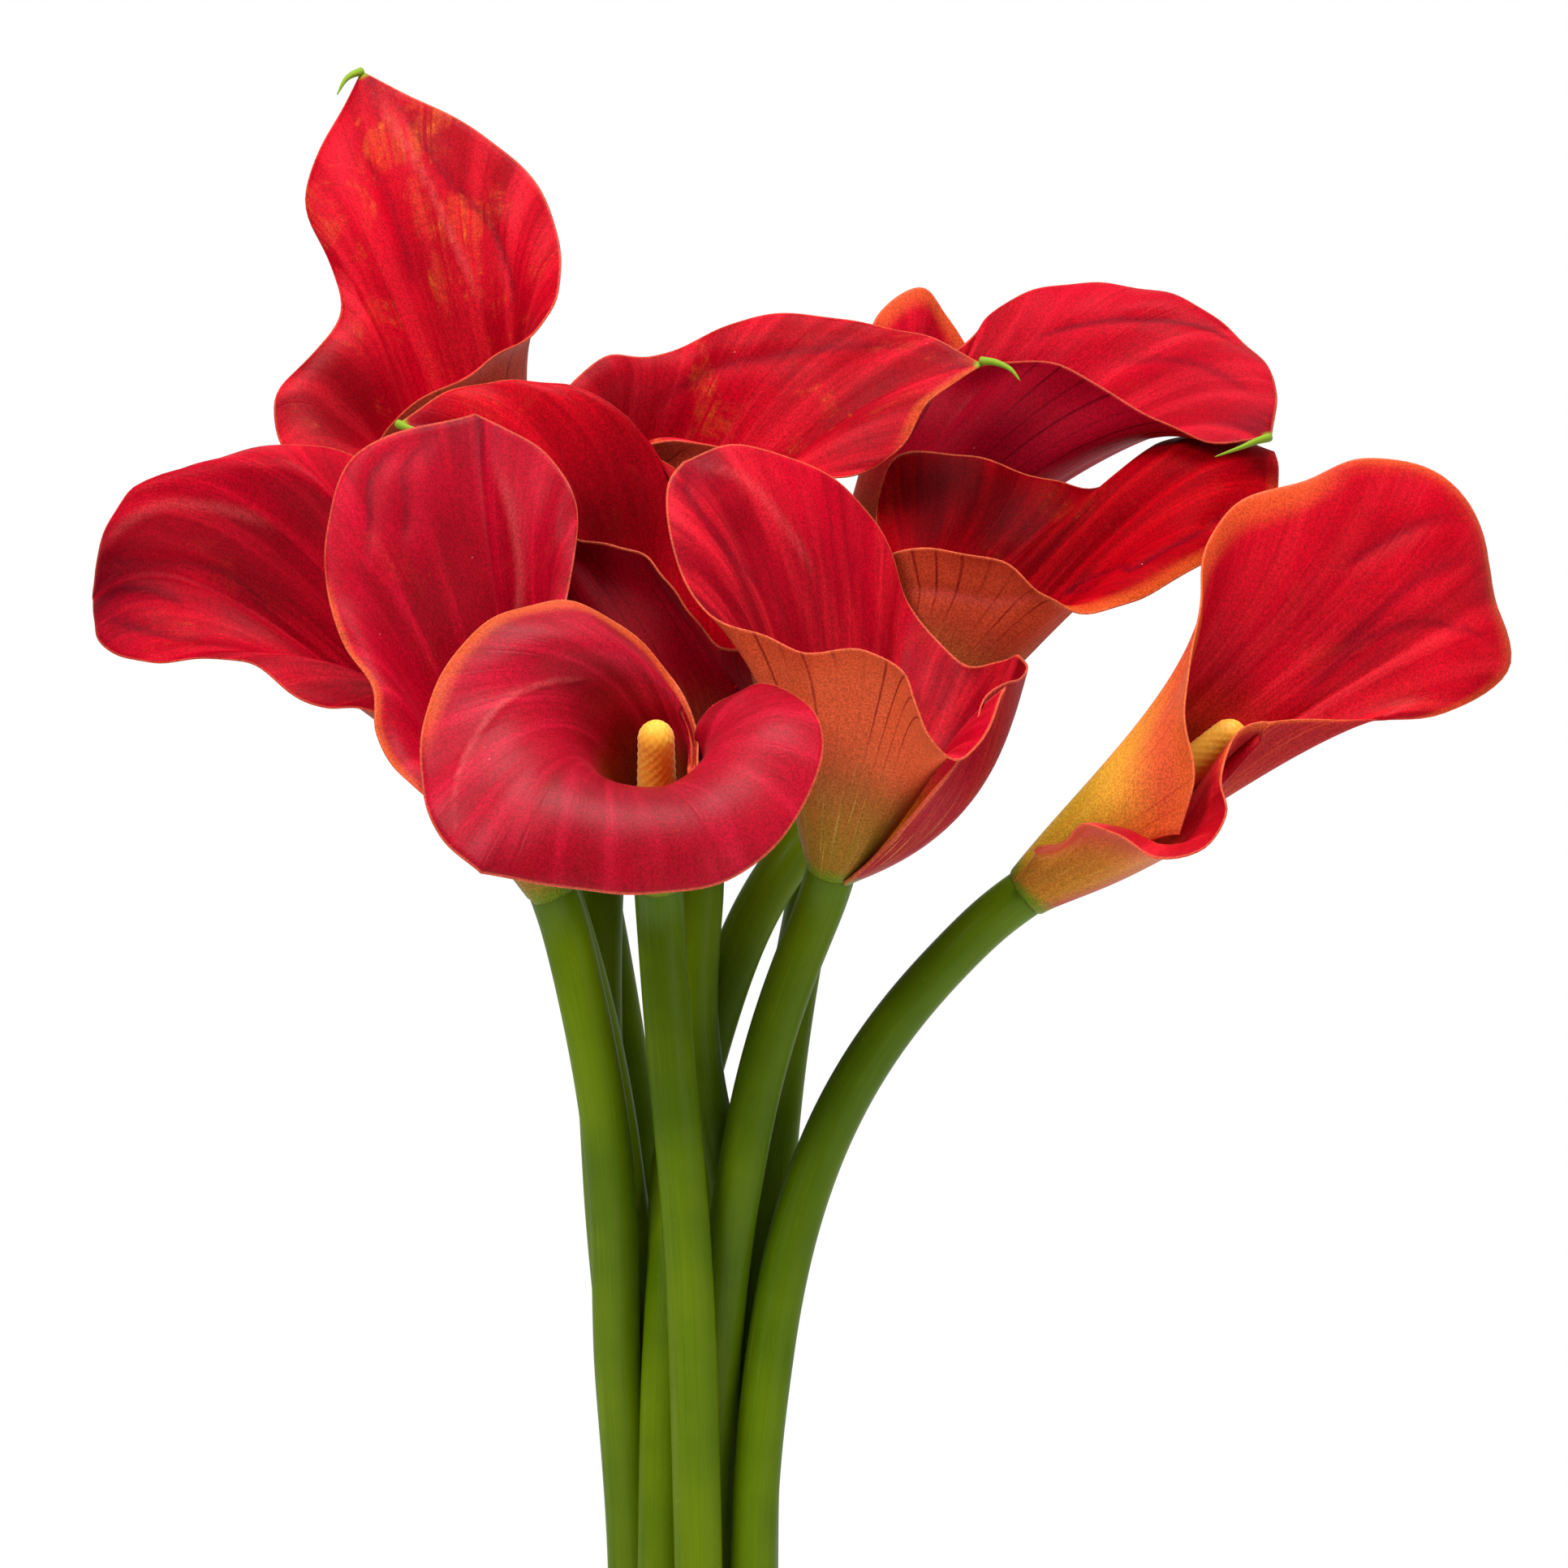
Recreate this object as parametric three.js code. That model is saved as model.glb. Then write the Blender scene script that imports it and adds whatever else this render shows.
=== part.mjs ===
// Potted calla lily: ten rolled flowers (spathe and spadix) on bare stems that
// stand in soil in a plain clay pot. Millimetres, +Z up, the front faces -Y,
// origin at the centre of the pot's underside.
import * as THREE from 'three';

// ---- driving dimensions ------------------------------------------------------
const POT_HEIGHT = 130;
const POT_RIM_RADIUS = 76;
const POT_FOOT_RADIUS = 50;
const POT_WALL = 6;
const POT_FLOOR = 8;
const RIM_BAND_HEIGHT = 26;
const RIM_BAND_STEP = 4;
const SOIL_DROP = 14;         // soil surface below the pot's rim
const NECK_ABOVE_SOIL = 74;   // where the stems stand closest together
const BUNCH_SCALE = 1;        // flowers and everything above the neck
const FOOT_SPREAD = 1.35;     // stems stand this much wider at the soil than at the neck
const STEM_RADIUS = 4.9;
const STEM_GAP = 1.0;         // least clear gap the stems settle to
const SPATHE_THICKNESS = 1.2;
const MARGIN_GAP = 1.3;       // how far each overlapping margin sits off the common tube
const SPADIX_RADIUS = 3.9;
const COLLAR = 0.6;           // how far a spathe's foot stands out past its stem
const CLEARANCE = 0.3;        // between parts that touch
const ROLL = 0.45;            // how much of a rib follows its arrival angle

// ---- the ten flowers -----------------------------------------------------------
// base: foot of the spathe, measured from the neck on the pot's axis.
// radii: of the tube, halfway up and at the throat.
// throat, spadix tip and rim are measured from the base.
// A rim point is x, y, z, then the angle at which the sheet arrives there
// (0 along the tube, 90 square to it, over 90 rolled back), then any swelling.
// inner runs from the covered margin to the tip, outer from the tip to the
// margin that lies outside. roll replaces ROLL. stem: way points from the neck up.
const FLOWERS = [
  {
    base: [-6, -26, 142],
    throat: [-1, -28, 34],
    radii: [10, 12],
    spadix: [0, -25, 31],
    back: [-1, -0.1, 0.25],
    overlap: 50,
    roll: 0.54,
    inner: [
      [9, -22, 20, 30], [7, -16, 33, 50], [-2, -14, 46, 70], [-19, -20, 55, 85],
      [-35, -30, 49, 95], [-44, -38, 34, 105], [-45, -46, 20, 115], [-41, -52, 9, 125],
      [-33, -58, 2, 130],
    ],
    outer: [
      [-16, -56, -1, 150], [0, -54, -2, 155], [16, -50, 1, 150], [28, -42, 13, 130],
      [33, -34, 28, 115], [28, -24, 36, 95], [18, -16, 38, 80], [10, -14, 33, 60],
      [9, -16, 25, 40],
    ],
    stem: [
      [2, -16, 2], [1, -17, 40], [0, -19, 73], [-3, -20, 98],
      [-5, -21, 118], [-6, -24, 134],
    ],
  },
  {
    base: [-28, -11, 140],
    throat: [-11, -15, 32],
    radii: [11, 15],
    spadix: [-10, -14, 29],
    overlap: 50,
    inner: [
      [-4, -27, 24, 60], [-18, -33, 16, 100], [-28, -31, 22, 110], [-34, -25, 31, 100],
      [-35, -21, 40, 80], [-41, -17, 49, 70], [-45, -11, 61, 60], [-45, -7, 73, 50],
      [-40, -1, 88, 50], [-16, 9, 97, 50],
    ],
    outer: [
      [-1, 1, 88, 60], [5, -5, 78, 70], [5, -11, 67, 80], [3, -19, 55, 80],
      [2, -27, 43, 80], [2, -31, 34, 70], [0, -31, 26, 60],
    ],
    stem: [
      [-11, 1, 0], [-13, -2, 31], [-14, -6, 64], [-16, -9, 89],
      [-19, -10, 109], [-24, -11, 127],
    ],
  },
  {
    base: [29, -14, 144],
    throat: [7, -14, 24],
    radii: [13, 16],
    spadix: [8, -17, 29],
    overlap: 56,
    inner: [
      [34, -35, 36, 30], [32, -40, 30, 50], [28, -44, 24, 60], [24, -46, 22, 75],
      [18, -48, 26, 75], [16, -48, 33, 70], [13, -46, 39, 60], [6, -44, 43, 45],
      [-6, -38, 43, 38], [-17, -30, 47, 42], [-26, -26, 52, 60], [-32, -20, 64, 80],
      [-33, -14, 77, 80], [-30, -8, 82, 75],
    ],
    outer: [
      [-20, -2, 86, 70], [-3, 6, 81, 60], [9, 12, 71, 50], [16, 14, 54, 45],
      [22, 10, 46, 45], [28, 6, 41, 30, 2], [34, 2, 42, 20, 5], [38, -4, 43, 5, 8],
      [40, -10, 41, 0, 10], [38, -18, 38, -5, 12], [34, -26, 37, -5, 12], [30, -32, 33, 0, 9],
      [27, -38, 26, 0, 5],
    ],
    stem: [
      [4, -4, 1], [4, -5, 31], [6, -7, 63], [10, -9, 86],
      [15, -11, 107], [20, -12, 126],
    ],
  },
  {
    base: [2, -1, 147],
    throat: [0, 1, 33],
    radii: [14, 17],
    spadix: [-1, 0, 46],
    overlap: 50,
    inner: [
      [9, -5, 42, 20], [12, 3, 52, 30], [6, 11, 65, 40], [-2, 13, 76, 50],
      [-13, 11, 83, 60], [-22, 9, 94, 70], [-37, 7, 97, 80], [-51, 5, 95, 85],
      [-62, 1, 88, 85],
    ],
    outer: [
      [-50, -3, 80, 60, 6], [-37, -5, 70, 45, 8], [-25, -7, 64, 40, 6], [-16, -11, 62, 40, 2],
      [-8, -15, 57, 40], [-2, -17, 49, 35], [4, -15, 42, 25], [11, -11, 41, 15],
    ],
    stem: [
      [8, 12, -1], [6, 8, 38], [2, 2, 80], [-1, -1, 101],
      [0, -2, 122], [1, -1, 135],
    ],
  },
  {
    base: [69, -5, 139],
    throat: [29, -7, 20],
    radii: [11, 14],
    spadix: [44, -3, 34],
    overlap: 50,
    rise: [0.8, 0.3],
    inner: [
      [29, -27, 12, 60, 2], [32, -29, 22, 50, 3], [31, -27, 33, 45, 3], [31, -23, 43, 50, 2],
      [34, -15, 58, 60], [37, -7, 72, 65], [44, 1, 80, 65], [57, 7, 84, 60],
      [69, 11, 89, 60], [81, 15, 88, 60], [92, 17, 80, 65], [98, 19, 61, 70],
    ],
    outer: [
      [100, 13, 46, 70], [86, 3, 37, 60, -2], [69, -3, 35, 50, -5], [53, -9, 35, 35, -7],
      [42, -17, 32, 35, -6], [38, -29, 23, 55, -1], [38, -37, 16, 90, 3], [33, -45, 9, 120, 6],
      [23, -47, 7, 130, 7], [16, -43, 12, 120, 6], [10, -35, 14, 95, 4], [6, -29, 10, 75, 3],
      [1, -23, 9, 50, 2],
    ],
    stem: [
      [12, -10, 1], [12, -8, 23], [14, -4, 49], [18, -3, 64],
      [24, -3, 84], [32, -4, 102], [44, -5, 118], [58, -5, 132],
    ],
  },
  {
    base: [-35, 8, 155],
    throat: [-19, -4, 31],
    radii: [11, 15],
    spadix: [-18, -4, 29],
    overlap: 50,
    inner: [
      [-8, 0, 34, 40], [-14, 8, 52, 50], [-24, 10, 68, 60], [-44, 6, 76, 70],
      [-63, 2, 73, 80], [-78, 0, 68, 90], [-86, 2, 59, 95], [-90, 12, 45, 110],
    ],
    outer: [
      [-87, 4, 35, 100], [-76, -4, 31, 85], [-56, -10, 31, 72], [-42, -16, 22, 70],
      [-31, -18, 21, 72], [-16, -18, 20, 80], [-6, -14, 25, 70],
    ],
    stem: [
      [-2, 5, -1], [-5, 5, 30], [-10, 4, 63], [-14, 3, 86],
      [-19, 3, 111], [-23, 3, 129], [-28, 3, 142],
    ],
  },
  {
    base: [39, 16, 167],
    throat: [19, -2, 25],
    radii: [11, 14],
    spadix: [21, -2, 27],
    overlap: 50,
    inner: [
      [8, 6, 36, 40], [0, 10, 48, 55], [4, 20, 63, 50], [19, 24, 63, 50],
      [37, 26, 58, 55], [48, 26, 57, 60], [58, 26, 64, 65], [72, 28, 69, 70],
      [84, 28, 64, 80],
    ],
    outer: [
      [84, 20, 55, 85], [78, 10, 46, 90], [66, -2, 39, 95], [53, -12, 32, 105],
      [42, -18, 29, 110], [33, -22, 32, 80], [25, -22, 39, 60], [12, -18, 42, 50],
      [2, -12, 41, 50], [-2, -6, 35, 50],
    ],
    stem: [
      [-5, -8, 1], [-5, -6, 39], [-2, -2, 64], [1, 3, 88],
      [3, 6, 107], [6, 8, 122], [12, 9, 142], [23, 10, 157],
    ],
  },
  {
    base: [-13, 46, 190],
    throat: [4, -12, 29],
    radii: [11, 15],
    spadix: [4, -13, 31],
    overlap: 50,
    inner: [
      [-6, -26, 32, 50], [-14, -24, 40, 70], [-15, -18, 51, 80], [-5, -10, 61, 70],
      [4, -6, 61, 60], [14, -4, 65, 60], [27, -4, 70, 60], [45, -8, 69, 65],
      [61, -14, 65, 70], [74, -22, 59, 75],
    ],
    outer: [
      [62, -26, 50, 75], [56, -28, 40, 75], [45, -28, 35, 75], [33, -30, 36, 75],
      [21, -30, 40, 80], [11, -30, 42, 90], [4, -30, 41, 100], [-2, -30, 36, 95],
      [-7, -28, 28, 70],
    ],
    stem: [
      [-10, 11, -1], [-13, 12, 38], [-16, 13, 65], [-19, 14, 96],
      [-20, 15, 116], [-20, 17, 138], [-19, 22, 159], [-16, 28, 176],
    ],
  },
  {
    base: [33, 68, 195],
    throat: [19, -4, 31],
    radii: [12, 18],
    spadix: [18, -4, 29],
    overlap: 50,
    inner: [
      [21, 4, 58, 30], [27, 8, 63, 35], [31, 10, 68, 40], [40, 12, 73, 50],
      [54, 12, 75, 55], [70, 8, 72, 60], [83, 2, 64, 70], [91, -16, 52, 80],
      [89, -34, 39, 90],
    ],
    outer: [
      [75, -38, 38, 80], [65, -38, 42, 60], [54, -32, 49, 50], [44, -26, 55, 40],
      [34, -16, 56, 40], [22, -10, 55, 50], [10, -4, 58, 60], [5, 4, 64, 65],
      [11, 10, 72, 60], [17, 14, 74, 50], [22, 16, 68, 40], [27, 16, 60, 30],
    ],
    stem: [
      [12, 2, 0], [13, 2, 38], [15, 4, 72], [17, 8, 96],
      [20, 13, 118], [24, 20, 138], [30, 30, 159], [36, 42, 179],
    ],
  },
  {
    base: [-41, 54, 209],
    throat: [-9, -6, 25],
    radii: [12, 17],
    spadix: [-12, -8, 31],
    overlap: 50,
    inner: [
      [-22, -16, 17, 60], [-32, -22, 13, 90], [-42, -26, 18, 110], [-47, -20, 32, 105],
      [-34, -4, 53, 60], [-42, 4, 78, 50], [-31, 14, 106, 40],
    ],
    outer: [
      [-4, 8, 91, 50], [7, 4, 81, 60], [13, -6, 63, 70], [10, -18, 50, 80],
      [-2, -34, 39, 90], [-18, -36, 30, 95], [-27, -32, 18, 95],
    ],
    stem: [
      [-1, 17, -2], [-5, 19, 37], [-10, 21, 79], [-14, 23, 104],
      [-18, 28, 129], [-23, 36, 155], [-31, 44, 181],
    ],
  },
];

// ---- small vector helpers --------------------------------------------------------
const V = (a) => new THREE.Vector3(a[0], a[1], a[2]);
const rad = (degrees) => (degrees * Math.PI) / 180;
const clamp01 = (x) => Math.min(1, Math.max(0, x));
const ease = (a, b, x) => {
  const t = clamp01((x - a) / (b - a));
  return t * t * (3 - 2 * t);
};

// Smooth curve through points of any length; at[] gives each point's place on it.
function spline(at, points, t) {
  const last = at.length - 1;
  const slope = [];
  for (let i = 0; i < last; i += 1) {
    const step = at[i + 1] - at[i];
    slope.push(points[i].map((p, c) => (points[i + 1][c] - p) / step));
  }
  const tangent = (i, c) => {
    if (i === 0) return slope[0][c];
    if (i === last) return slope[last - 1][c];
    const before = at[i] - at[i - 1];
    const after = at[i + 1] - at[i];
    return (slope[i - 1][c] * after + slope[i][c] * before) / (before + after);
  };
  let k = 0;
  while (k < last - 1 && at[k + 1] <= t) k += 1;
  const h = at[k + 1] - at[k];
  const s = (t - at[k]) / h;
  const s2 = s * s;
  const s3 = s2 * s;
  return points[k].map((p, c) => (2 * s3 - 3 * s2 + 1) * p
    + (s3 - 2 * s2 + s) * h * tangent(k, c)
    + (3 * s2 - 2 * s3) * points[k + 1][c]
    + (s3 - s2) * h * tangent(k + 1, c));
}

// Places for the points of a rim half, part by distance and part by count.
function places(points, from, to) {
  const run = [0];
  for (let i = 1; i < points.length; i += 1) {
    const a = points[i - 1];
    const b = points[i];
    run.push(run[i - 1] + Math.hypot(b[0] - a[0], b[1] - a[1], b[2] - a[2]));
  }
  const total = run[run.length - 1];
  return run.map((r, i) => from + (to - from) * (0.5 * r / total + (0.5 * i) / (run.length - 1)));
}

// ---- spathe surface ---------------------------------------------------------------
// Rib by rib: each rib is a smooth curve that leaves the base ring, passes the
// throat ring and arrives at the rim at its own angle.
function flowerAxes(flower) {
  const axis = V(flower.throat).normalize();
  const tip = V(flower.inner[flower.inner.length - 1]);
  const back = flower.back ? V(flower.back) : tip.clone().sub(V(flower.throat));
  back.addScaledVector(axis, -back.dot(axis)).normalize();
  const side = new THREE.Vector3().crossVectors(axis, back);
  return { axis, back, side, tube: V(flower.throat).length() };
}

function spatheGrid(flower, around, along) {
  const { axis, back, side, tube } = flowerAxes(flower);
  const full = (p) => [p[0], p[1], p[2], p[3], p[4] || 0];
  const inner = flower.inner.map(full);
  const outer = [inner[inner.length - 1], ...flower.outer.map(full)];
  const innerAt = places(inner, 0, 0.5);
  const outerAt = places(outer, 0.5, 1);
  const rim = (u) => (u <= 0.5 ? spline(innerAt, inner, u) : spline(outerAt, outer, u));
  const across = V(rim(0.25)).sub(V(rim(0.75)));
  const turn = across.dot(side) > 0 ? -1 : 1;
  const [rBase, rMid, rThroat] = flower.radii;
  const [riseIn, riseOut] = flower.rise || [1, 1];
  const roll = flower.roll || ROLL;
  const throat = V(flower.throat);
  const grid = [];
  for (let i = 0; i <= around; i += 1) {
    const u = i / around;
    const r = rim(u);
    const point = V(r);
    const angle = turn * (2 * u - 1) * (Math.PI + rad(flower.overlap) / 2);
    const out = back.clone().multiplyScalar(Math.cos(angle))
      .addScaledVector(side, Math.sin(angle));
    const g = 1 - (1 - riseIn) * (1 - ease(0, 0.22, u)) - (1 - riseOut) * ease(0.78, 1, u);
    const shift = -MARGIN_GAP * (1 - ease(0, 0.2, u)) + MARGIN_GAP * ease(0.8, 1, u);
    const ring = (height, radius) => axis.clone().multiplyScalar(height)
      .addScaledVector(out, radius);
    const away = point.clone().sub(throat);
    away.addScaledVector(axis, -away.dot(axis)).normalize();
    const arrive = axis.clone().multiplyScalar(Math.cos(rad(r[3])))
      .addScaledVector(away, Math.sin(rad(r[3])));
    const c0 = ring(0, rBase + shift * 0.6);
    const c1 = ring(tube * 0.5 * g, rBase + (rMid - rBase) * g + shift + r[4] * 0.5);
    const c2 = ring(tube * g, rBase + (rThroat - rBase) * g + shift + r[4]);
    const c3 = point.clone().addScaledVector(arrive, -roll * point.distanceTo(c2));
    const rib = [];
    for (let j = 0; j <= along; j += 1) {
      const v = j / along;
      const w = 1 - v;
      rib.push(new THREE.Vector3()
        .addScaledVector(c0, w ** 4)
        .addScaledVector(c1, 4 * w ** 3 * v)
        .addScaledVector(c2, 6 * w * w * v * v)
        .addScaledVector(c3, 4 * w * v ** 3)
        .addScaledVector(point, v ** 4));
    }
    grid.push(rib);
  }
  return { grid, turn };
}

// ---- closed bodies -------------------------------------------------------------------
function closedGeometry(points, faces) {
  let volume = 0;
  faces.forEach(([a, b, c]) => {
    volume += points[a].dot(new THREE.Vector3().crossVectors(points[b], points[c]));
  });
  const index = [];
  faces.forEach(([a, b, c]) => index.push(...(volume > 0 ? [a, b, c] : [a, c, b])));
  const flat = [];
  points.forEach((p) => flat.push(p.x, p.y, p.z));
  const geometry = new THREE.BufferGeometry();
  geometry.setAttribute('position', new THREE.Float32BufferAttribute(flat, 3));
  geometry.setIndex(index);
  geometry.computeVertexNormals();
  return geometry;
}

// A sheet of even thickness: the grid is its outer face.
function sheet(grid, turn, thickness) {
  const rows = grid.length;
  const columns = grid[0].length;
  const points = [];
  const faces = [];
  grid.forEach((rib) => points.push(...rib));
  for (let i = 0; i < rows; i += 1) {
    for (let j = 0; j < columns; j += 1) {
      const du = grid[Math.min(i + 1, rows - 1)][j].clone().sub(grid[Math.max(i - 1, 0)][j]);
      const dv = grid[i][Math.min(j + 1, columns - 1)].clone().sub(grid[i][Math.max(j - 1, 0)]);
      const normal = du.cross(dv).normalize();
      points.push(grid[i][j].clone().addScaledVector(normal, -turn * thickness));
    }
  }
  const outside = (i, j) => i * columns + j;
  const inside = (i, j) => rows * columns + i * columns + j;
  const quad = (a, b, c, d) => faces.push([a, b, c], [a, c, d]);
  for (let i = 0; i < rows - 1; i += 1) {
    for (let j = 0; j < columns - 1; j += 1) {
      quad(outside(i, j), outside(i + 1, j), outside(i + 1, j + 1), outside(i, j + 1));
      quad(inside(i, j), inside(i, j + 1), inside(i + 1, j + 1), inside(i + 1, j));
    }
    quad(outside(i, 0), inside(i, 0), inside(i + 1, 0), outside(i + 1, 0));
    const n = columns - 1;
    quad(outside(i, n), outside(i + 1, n), inside(i + 1, n), inside(i, n));
  }
  for (let j = 0; j < columns - 1; j += 1) {
    quad(outside(0, j), outside(0, j + 1), inside(0, j + 1), inside(0, j));
    const m = rows - 1;
    quad(outside(m, j), inside(m, j), inside(m, j + 1), outside(m, j + 1));
  }
  return closedGeometry(points, faces);
}

// A round bar along a curve, as an eight-sided section swept through points.
function sweep(points, radius, steps) {
  const section = new THREE.Shape();
  for (let s = 0; s < 8; s += 1) {
    const angle = (2 * Math.PI * s) / 8;
    const corner = [radius * Math.cos(angle), radius * Math.sin(angle)];
    if (s === 0) section.moveTo(...corner);
    else section.lineTo(...corner);
  }
  section.closePath();
  const extrudePath = new THREE.CatmullRomCurve3(points);
  return new THREE.ExtrudeGeometry(section, { steps, extrudePath, bevelEnabled: false });
}

// ---- placing --------------------------------------------------------------------------
const SOIL_HEIGHT = POT_HEIGHT - SOIL_DROP;
const NECK_HEIGHT = SOIL_HEIGHT + NECK_ABOVE_SOIL;
const fromNeck = (a) => V(a).multiplyScalar(BUNCH_SCALE)
  .add(new THREE.Vector3(0, 0, NECK_HEIGHT));
const scaled = (points) => points.map((p) => [
  p[0] * BUNCH_SCALE, p[1] * BUNCH_SCALE, p[2] * BUNCH_SCALE, ...p.slice(3)]);

const flowers = FLOWERS.map((f) => ({
  ...f,
  base: fromNeck(f.base),
  throat: scaled([f.throat])[0],
  spadix: scaled([f.spadix])[0],
  inner: scaled(f.inner),
  outer: scaled(f.outer),
  radii: [STEM_RADIUS + COLLAR, f.radii[0] * BUNCH_SCALE, f.radii[1] * BUNCH_SCALE],
}));

// ---- stems ------------------------------------------------------------------------------
// Each follows its way points; then all are nudged apart until none touch.
const STEM_SAMPLES = 61;

function roughStem(flower) {
  const way = flower.stem.map((p) => fromNeck(p));
  const foot = new THREE.Vector3(way[0].x * FOOT_SPREAD, way[0].y * FOOT_SPREAD,
    SOIL_HEIGHT + CLEARANCE);
  const axis = V(flower.throat).normalize();
  const below = (distance) => flower.base.clone().addScaledVector(axis, -distance);
  const line = [foot, ...way, below(9), below(CLEARANCE)];
  const run = [0];
  for (let i = 1; i < line.length; i += 1) {
    run.push(run[i - 1] + line[i].distanceTo(line[i - 1]));
  }
  const points = line.map((p) => [p.x, p.y, p.z]);
  const samples = [];
  for (let i = 0; i < STEM_SAMPLES; i += 1) {
    const at = (run[run.length - 1] * i) / (STEM_SAMPLES - 1);
    samples.push(V(spline(run, points, at)));
  }
  return samples;
}

function settle(lines) {
  const rounds = 160;
  const wanted = 2 * STEM_RADIUS + STEM_GAP;
  let current = lines;
  for (let round = 0; round < rounds; round += 1) {
    const next = current.map((line, a) => line.map((p, i) => {
      if (i > STEM_SAMPLES - 4) return p.clone();
      const push = new THREE.Vector3();
      current.forEach((other, b) => {
        if (a === b) return;
        let nearest = other[0];
        other.forEach((q) => {
          if (q.distanceToSquared(p) < nearest.distanceToSquared(p)) nearest = q;
        });
        const gap = p.clone().sub(nearest);
        const short = Math.max(0, wanted - gap.length()) / 2;
        gap.normalize().multiplyScalar(short);
        push.add(new THREE.Vector3(gap.x * 0.4, gap.y, i === 0 ? 0 : gap.z * 0.05));
      });
      return p.clone().addScaledVector(push, 0.7);
    }));
    if (round < rounds * 0.7) {
      current = next.map((line) => line.map((p, i) => {
        if (i === 0 || i > STEM_SAMPLES - 4) return p;
        return p.clone().multiplyScalar(0.7)
          .addScaledVector(line[i - 1], 0.15).addScaledVector(line[i + 1], 0.15);
      }));
    } else {
      current = next;
    }
  }
  return current;
}

// ---- build ---------------------------------------------------------------------------------
const group = new THREE.Group();

function add(name, geometry, color, roughness) {
  const material = new THREE.MeshStandardMaterial({ color, roughness, metalness: 0 });
  const mesh = new THREE.Mesh(geometry, material);
  mesh.name = name;
  group.add(mesh);
  return mesh;
}

const numbered = (name, n) => `${name}_${String(n + 1).padStart(2, '0')}`;
const UP = new THREE.Vector3(0, 0, 1);

flowers.forEach((flower, n) => {
  const { grid, turn } = spatheGrid(flower, 18, 7);
  const shell = add(numbered('spathe', n), sheet(grid, turn, SPATHE_THICKNESS), 0xb3122a, 0.5);
  shell.position.copy(flower.base);
});

// Spadix: share of the length, share of the radius.
const SPADIX_PROFILE = [[0, 0.6], [0.12, 0.66], [0.3, 1], [0.6, 1], [0.84, 0.9], [0.95, 0.6]];

flowers.forEach((flower, n) => {
  const start = V(flower.throat).normalize().multiplyScalar(2 * CLEARANCE);
  const run = V(flower.spadix).sub(start);
  const length = run.length();
  const profile = SPADIX_PROFILE.map(([along, wide]) => (
    new THREE.Vector2(wide * SPADIX_RADIUS, along * length)));
  profile.unshift(new THREE.Vector2(0, 0));
  profile.push(new THREE.Vector2(0, length));
  const spadix = add(numbered('spadix', n), new THREE.LatheGeometry(profile, 8), 0xe8b030, 0.7);
  spadix.position.copy(flower.base).add(start);
  spadix.quaternion.setFromUnitVectors(new THREE.Vector3(0, 1, 0), run.normalize());
});

settle(flowers.map(roughStem)).forEach((line, n) => {
  const straight = 4;
  const foot = line[0];
  const top = line[line.length - 1];
  const axis = V(flowers[n].throat).normalize();
  const between = line.slice(3, -3).filter((p, i) => i % 3 === 0);
  const points = [
    foot,
    foot.clone().addScaledVector(UP, straight),
    ...between,
    top.clone().addScaledVector(axis, -straight),
    top,
  ];
  add(numbered('stem', n), sweep(points, STEM_RADIUS, 20), 0x5f8f1e, 0.4);
});

// ---- pot and soil ----------------------------------------------------------------------------
const bandFoot = POT_HEIGHT - RIM_BAND_HEIGHT;
const bodyTop = POT_RIM_RADIUS - RIM_BAND_STEP;
const wallRadius = (z) => POT_FOOT_RADIUS + ((bodyTop - POT_FOOT_RADIUS) * z) / bandFoot;
const insideRadius = (z) => wallRadius(z) - POT_WALL;
const EDGE = 2;               // the bevel along the pot's edges

function turned(profile) {
  const points = profile.map(([r, z]) => new THREE.Vector2(r, z));
  const geometry = new THREE.LatheGeometry(points, 32);
  geometry.rotateX(Math.PI / 2);
  return geometry;
}

add('pot', turned([
  [0, 0],
  [POT_FOOT_RADIUS - EDGE, 0],
  [wallRadius(EDGE), EDGE],
  [wallRadius(bandFoot), bandFoot],
  [POT_RIM_RADIUS - EDGE / 2, bandFoot],
  [POT_RIM_RADIUS, bandFoot + EDGE],
  [POT_RIM_RADIUS, POT_HEIGHT - EDGE],
  [POT_RIM_RADIUS - EDGE, POT_HEIGHT],
  [insideRadius(POT_HEIGHT) + EDGE / 2, POT_HEIGHT],
  [insideRadius(POT_HEIGHT - EDGE), POT_HEIGHT - EDGE],
  [insideRadius(POT_FLOOR), POT_FLOOR],
  [0, POT_FLOOR],
]), 0xb5623c, 0.9);

// The pot's section has 32 sides, so the soil keeps clear of its flats.
const soilRadius = (z) => insideRadius(z) * Math.cos(Math.PI / 32) - CLEARANCE;
const soilFloor = POT_FLOOR + CLEARANCE;
add('soil', turned([
  [0, soilFloor],
  [soilRadius(soilFloor), soilFloor],
  [soilRadius(SOIL_HEIGHT), SOIL_HEIGHT],
  [0, SOIL_HEIGHT],
]), 0x3a2a1e, 1);

export default group;
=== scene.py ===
"""Potted calla lily: petals, spadices, stems, pot and soil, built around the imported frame.

Lengths are in millimetres until a mesh is made, where MM turns them into metres.
"""
import math

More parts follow.
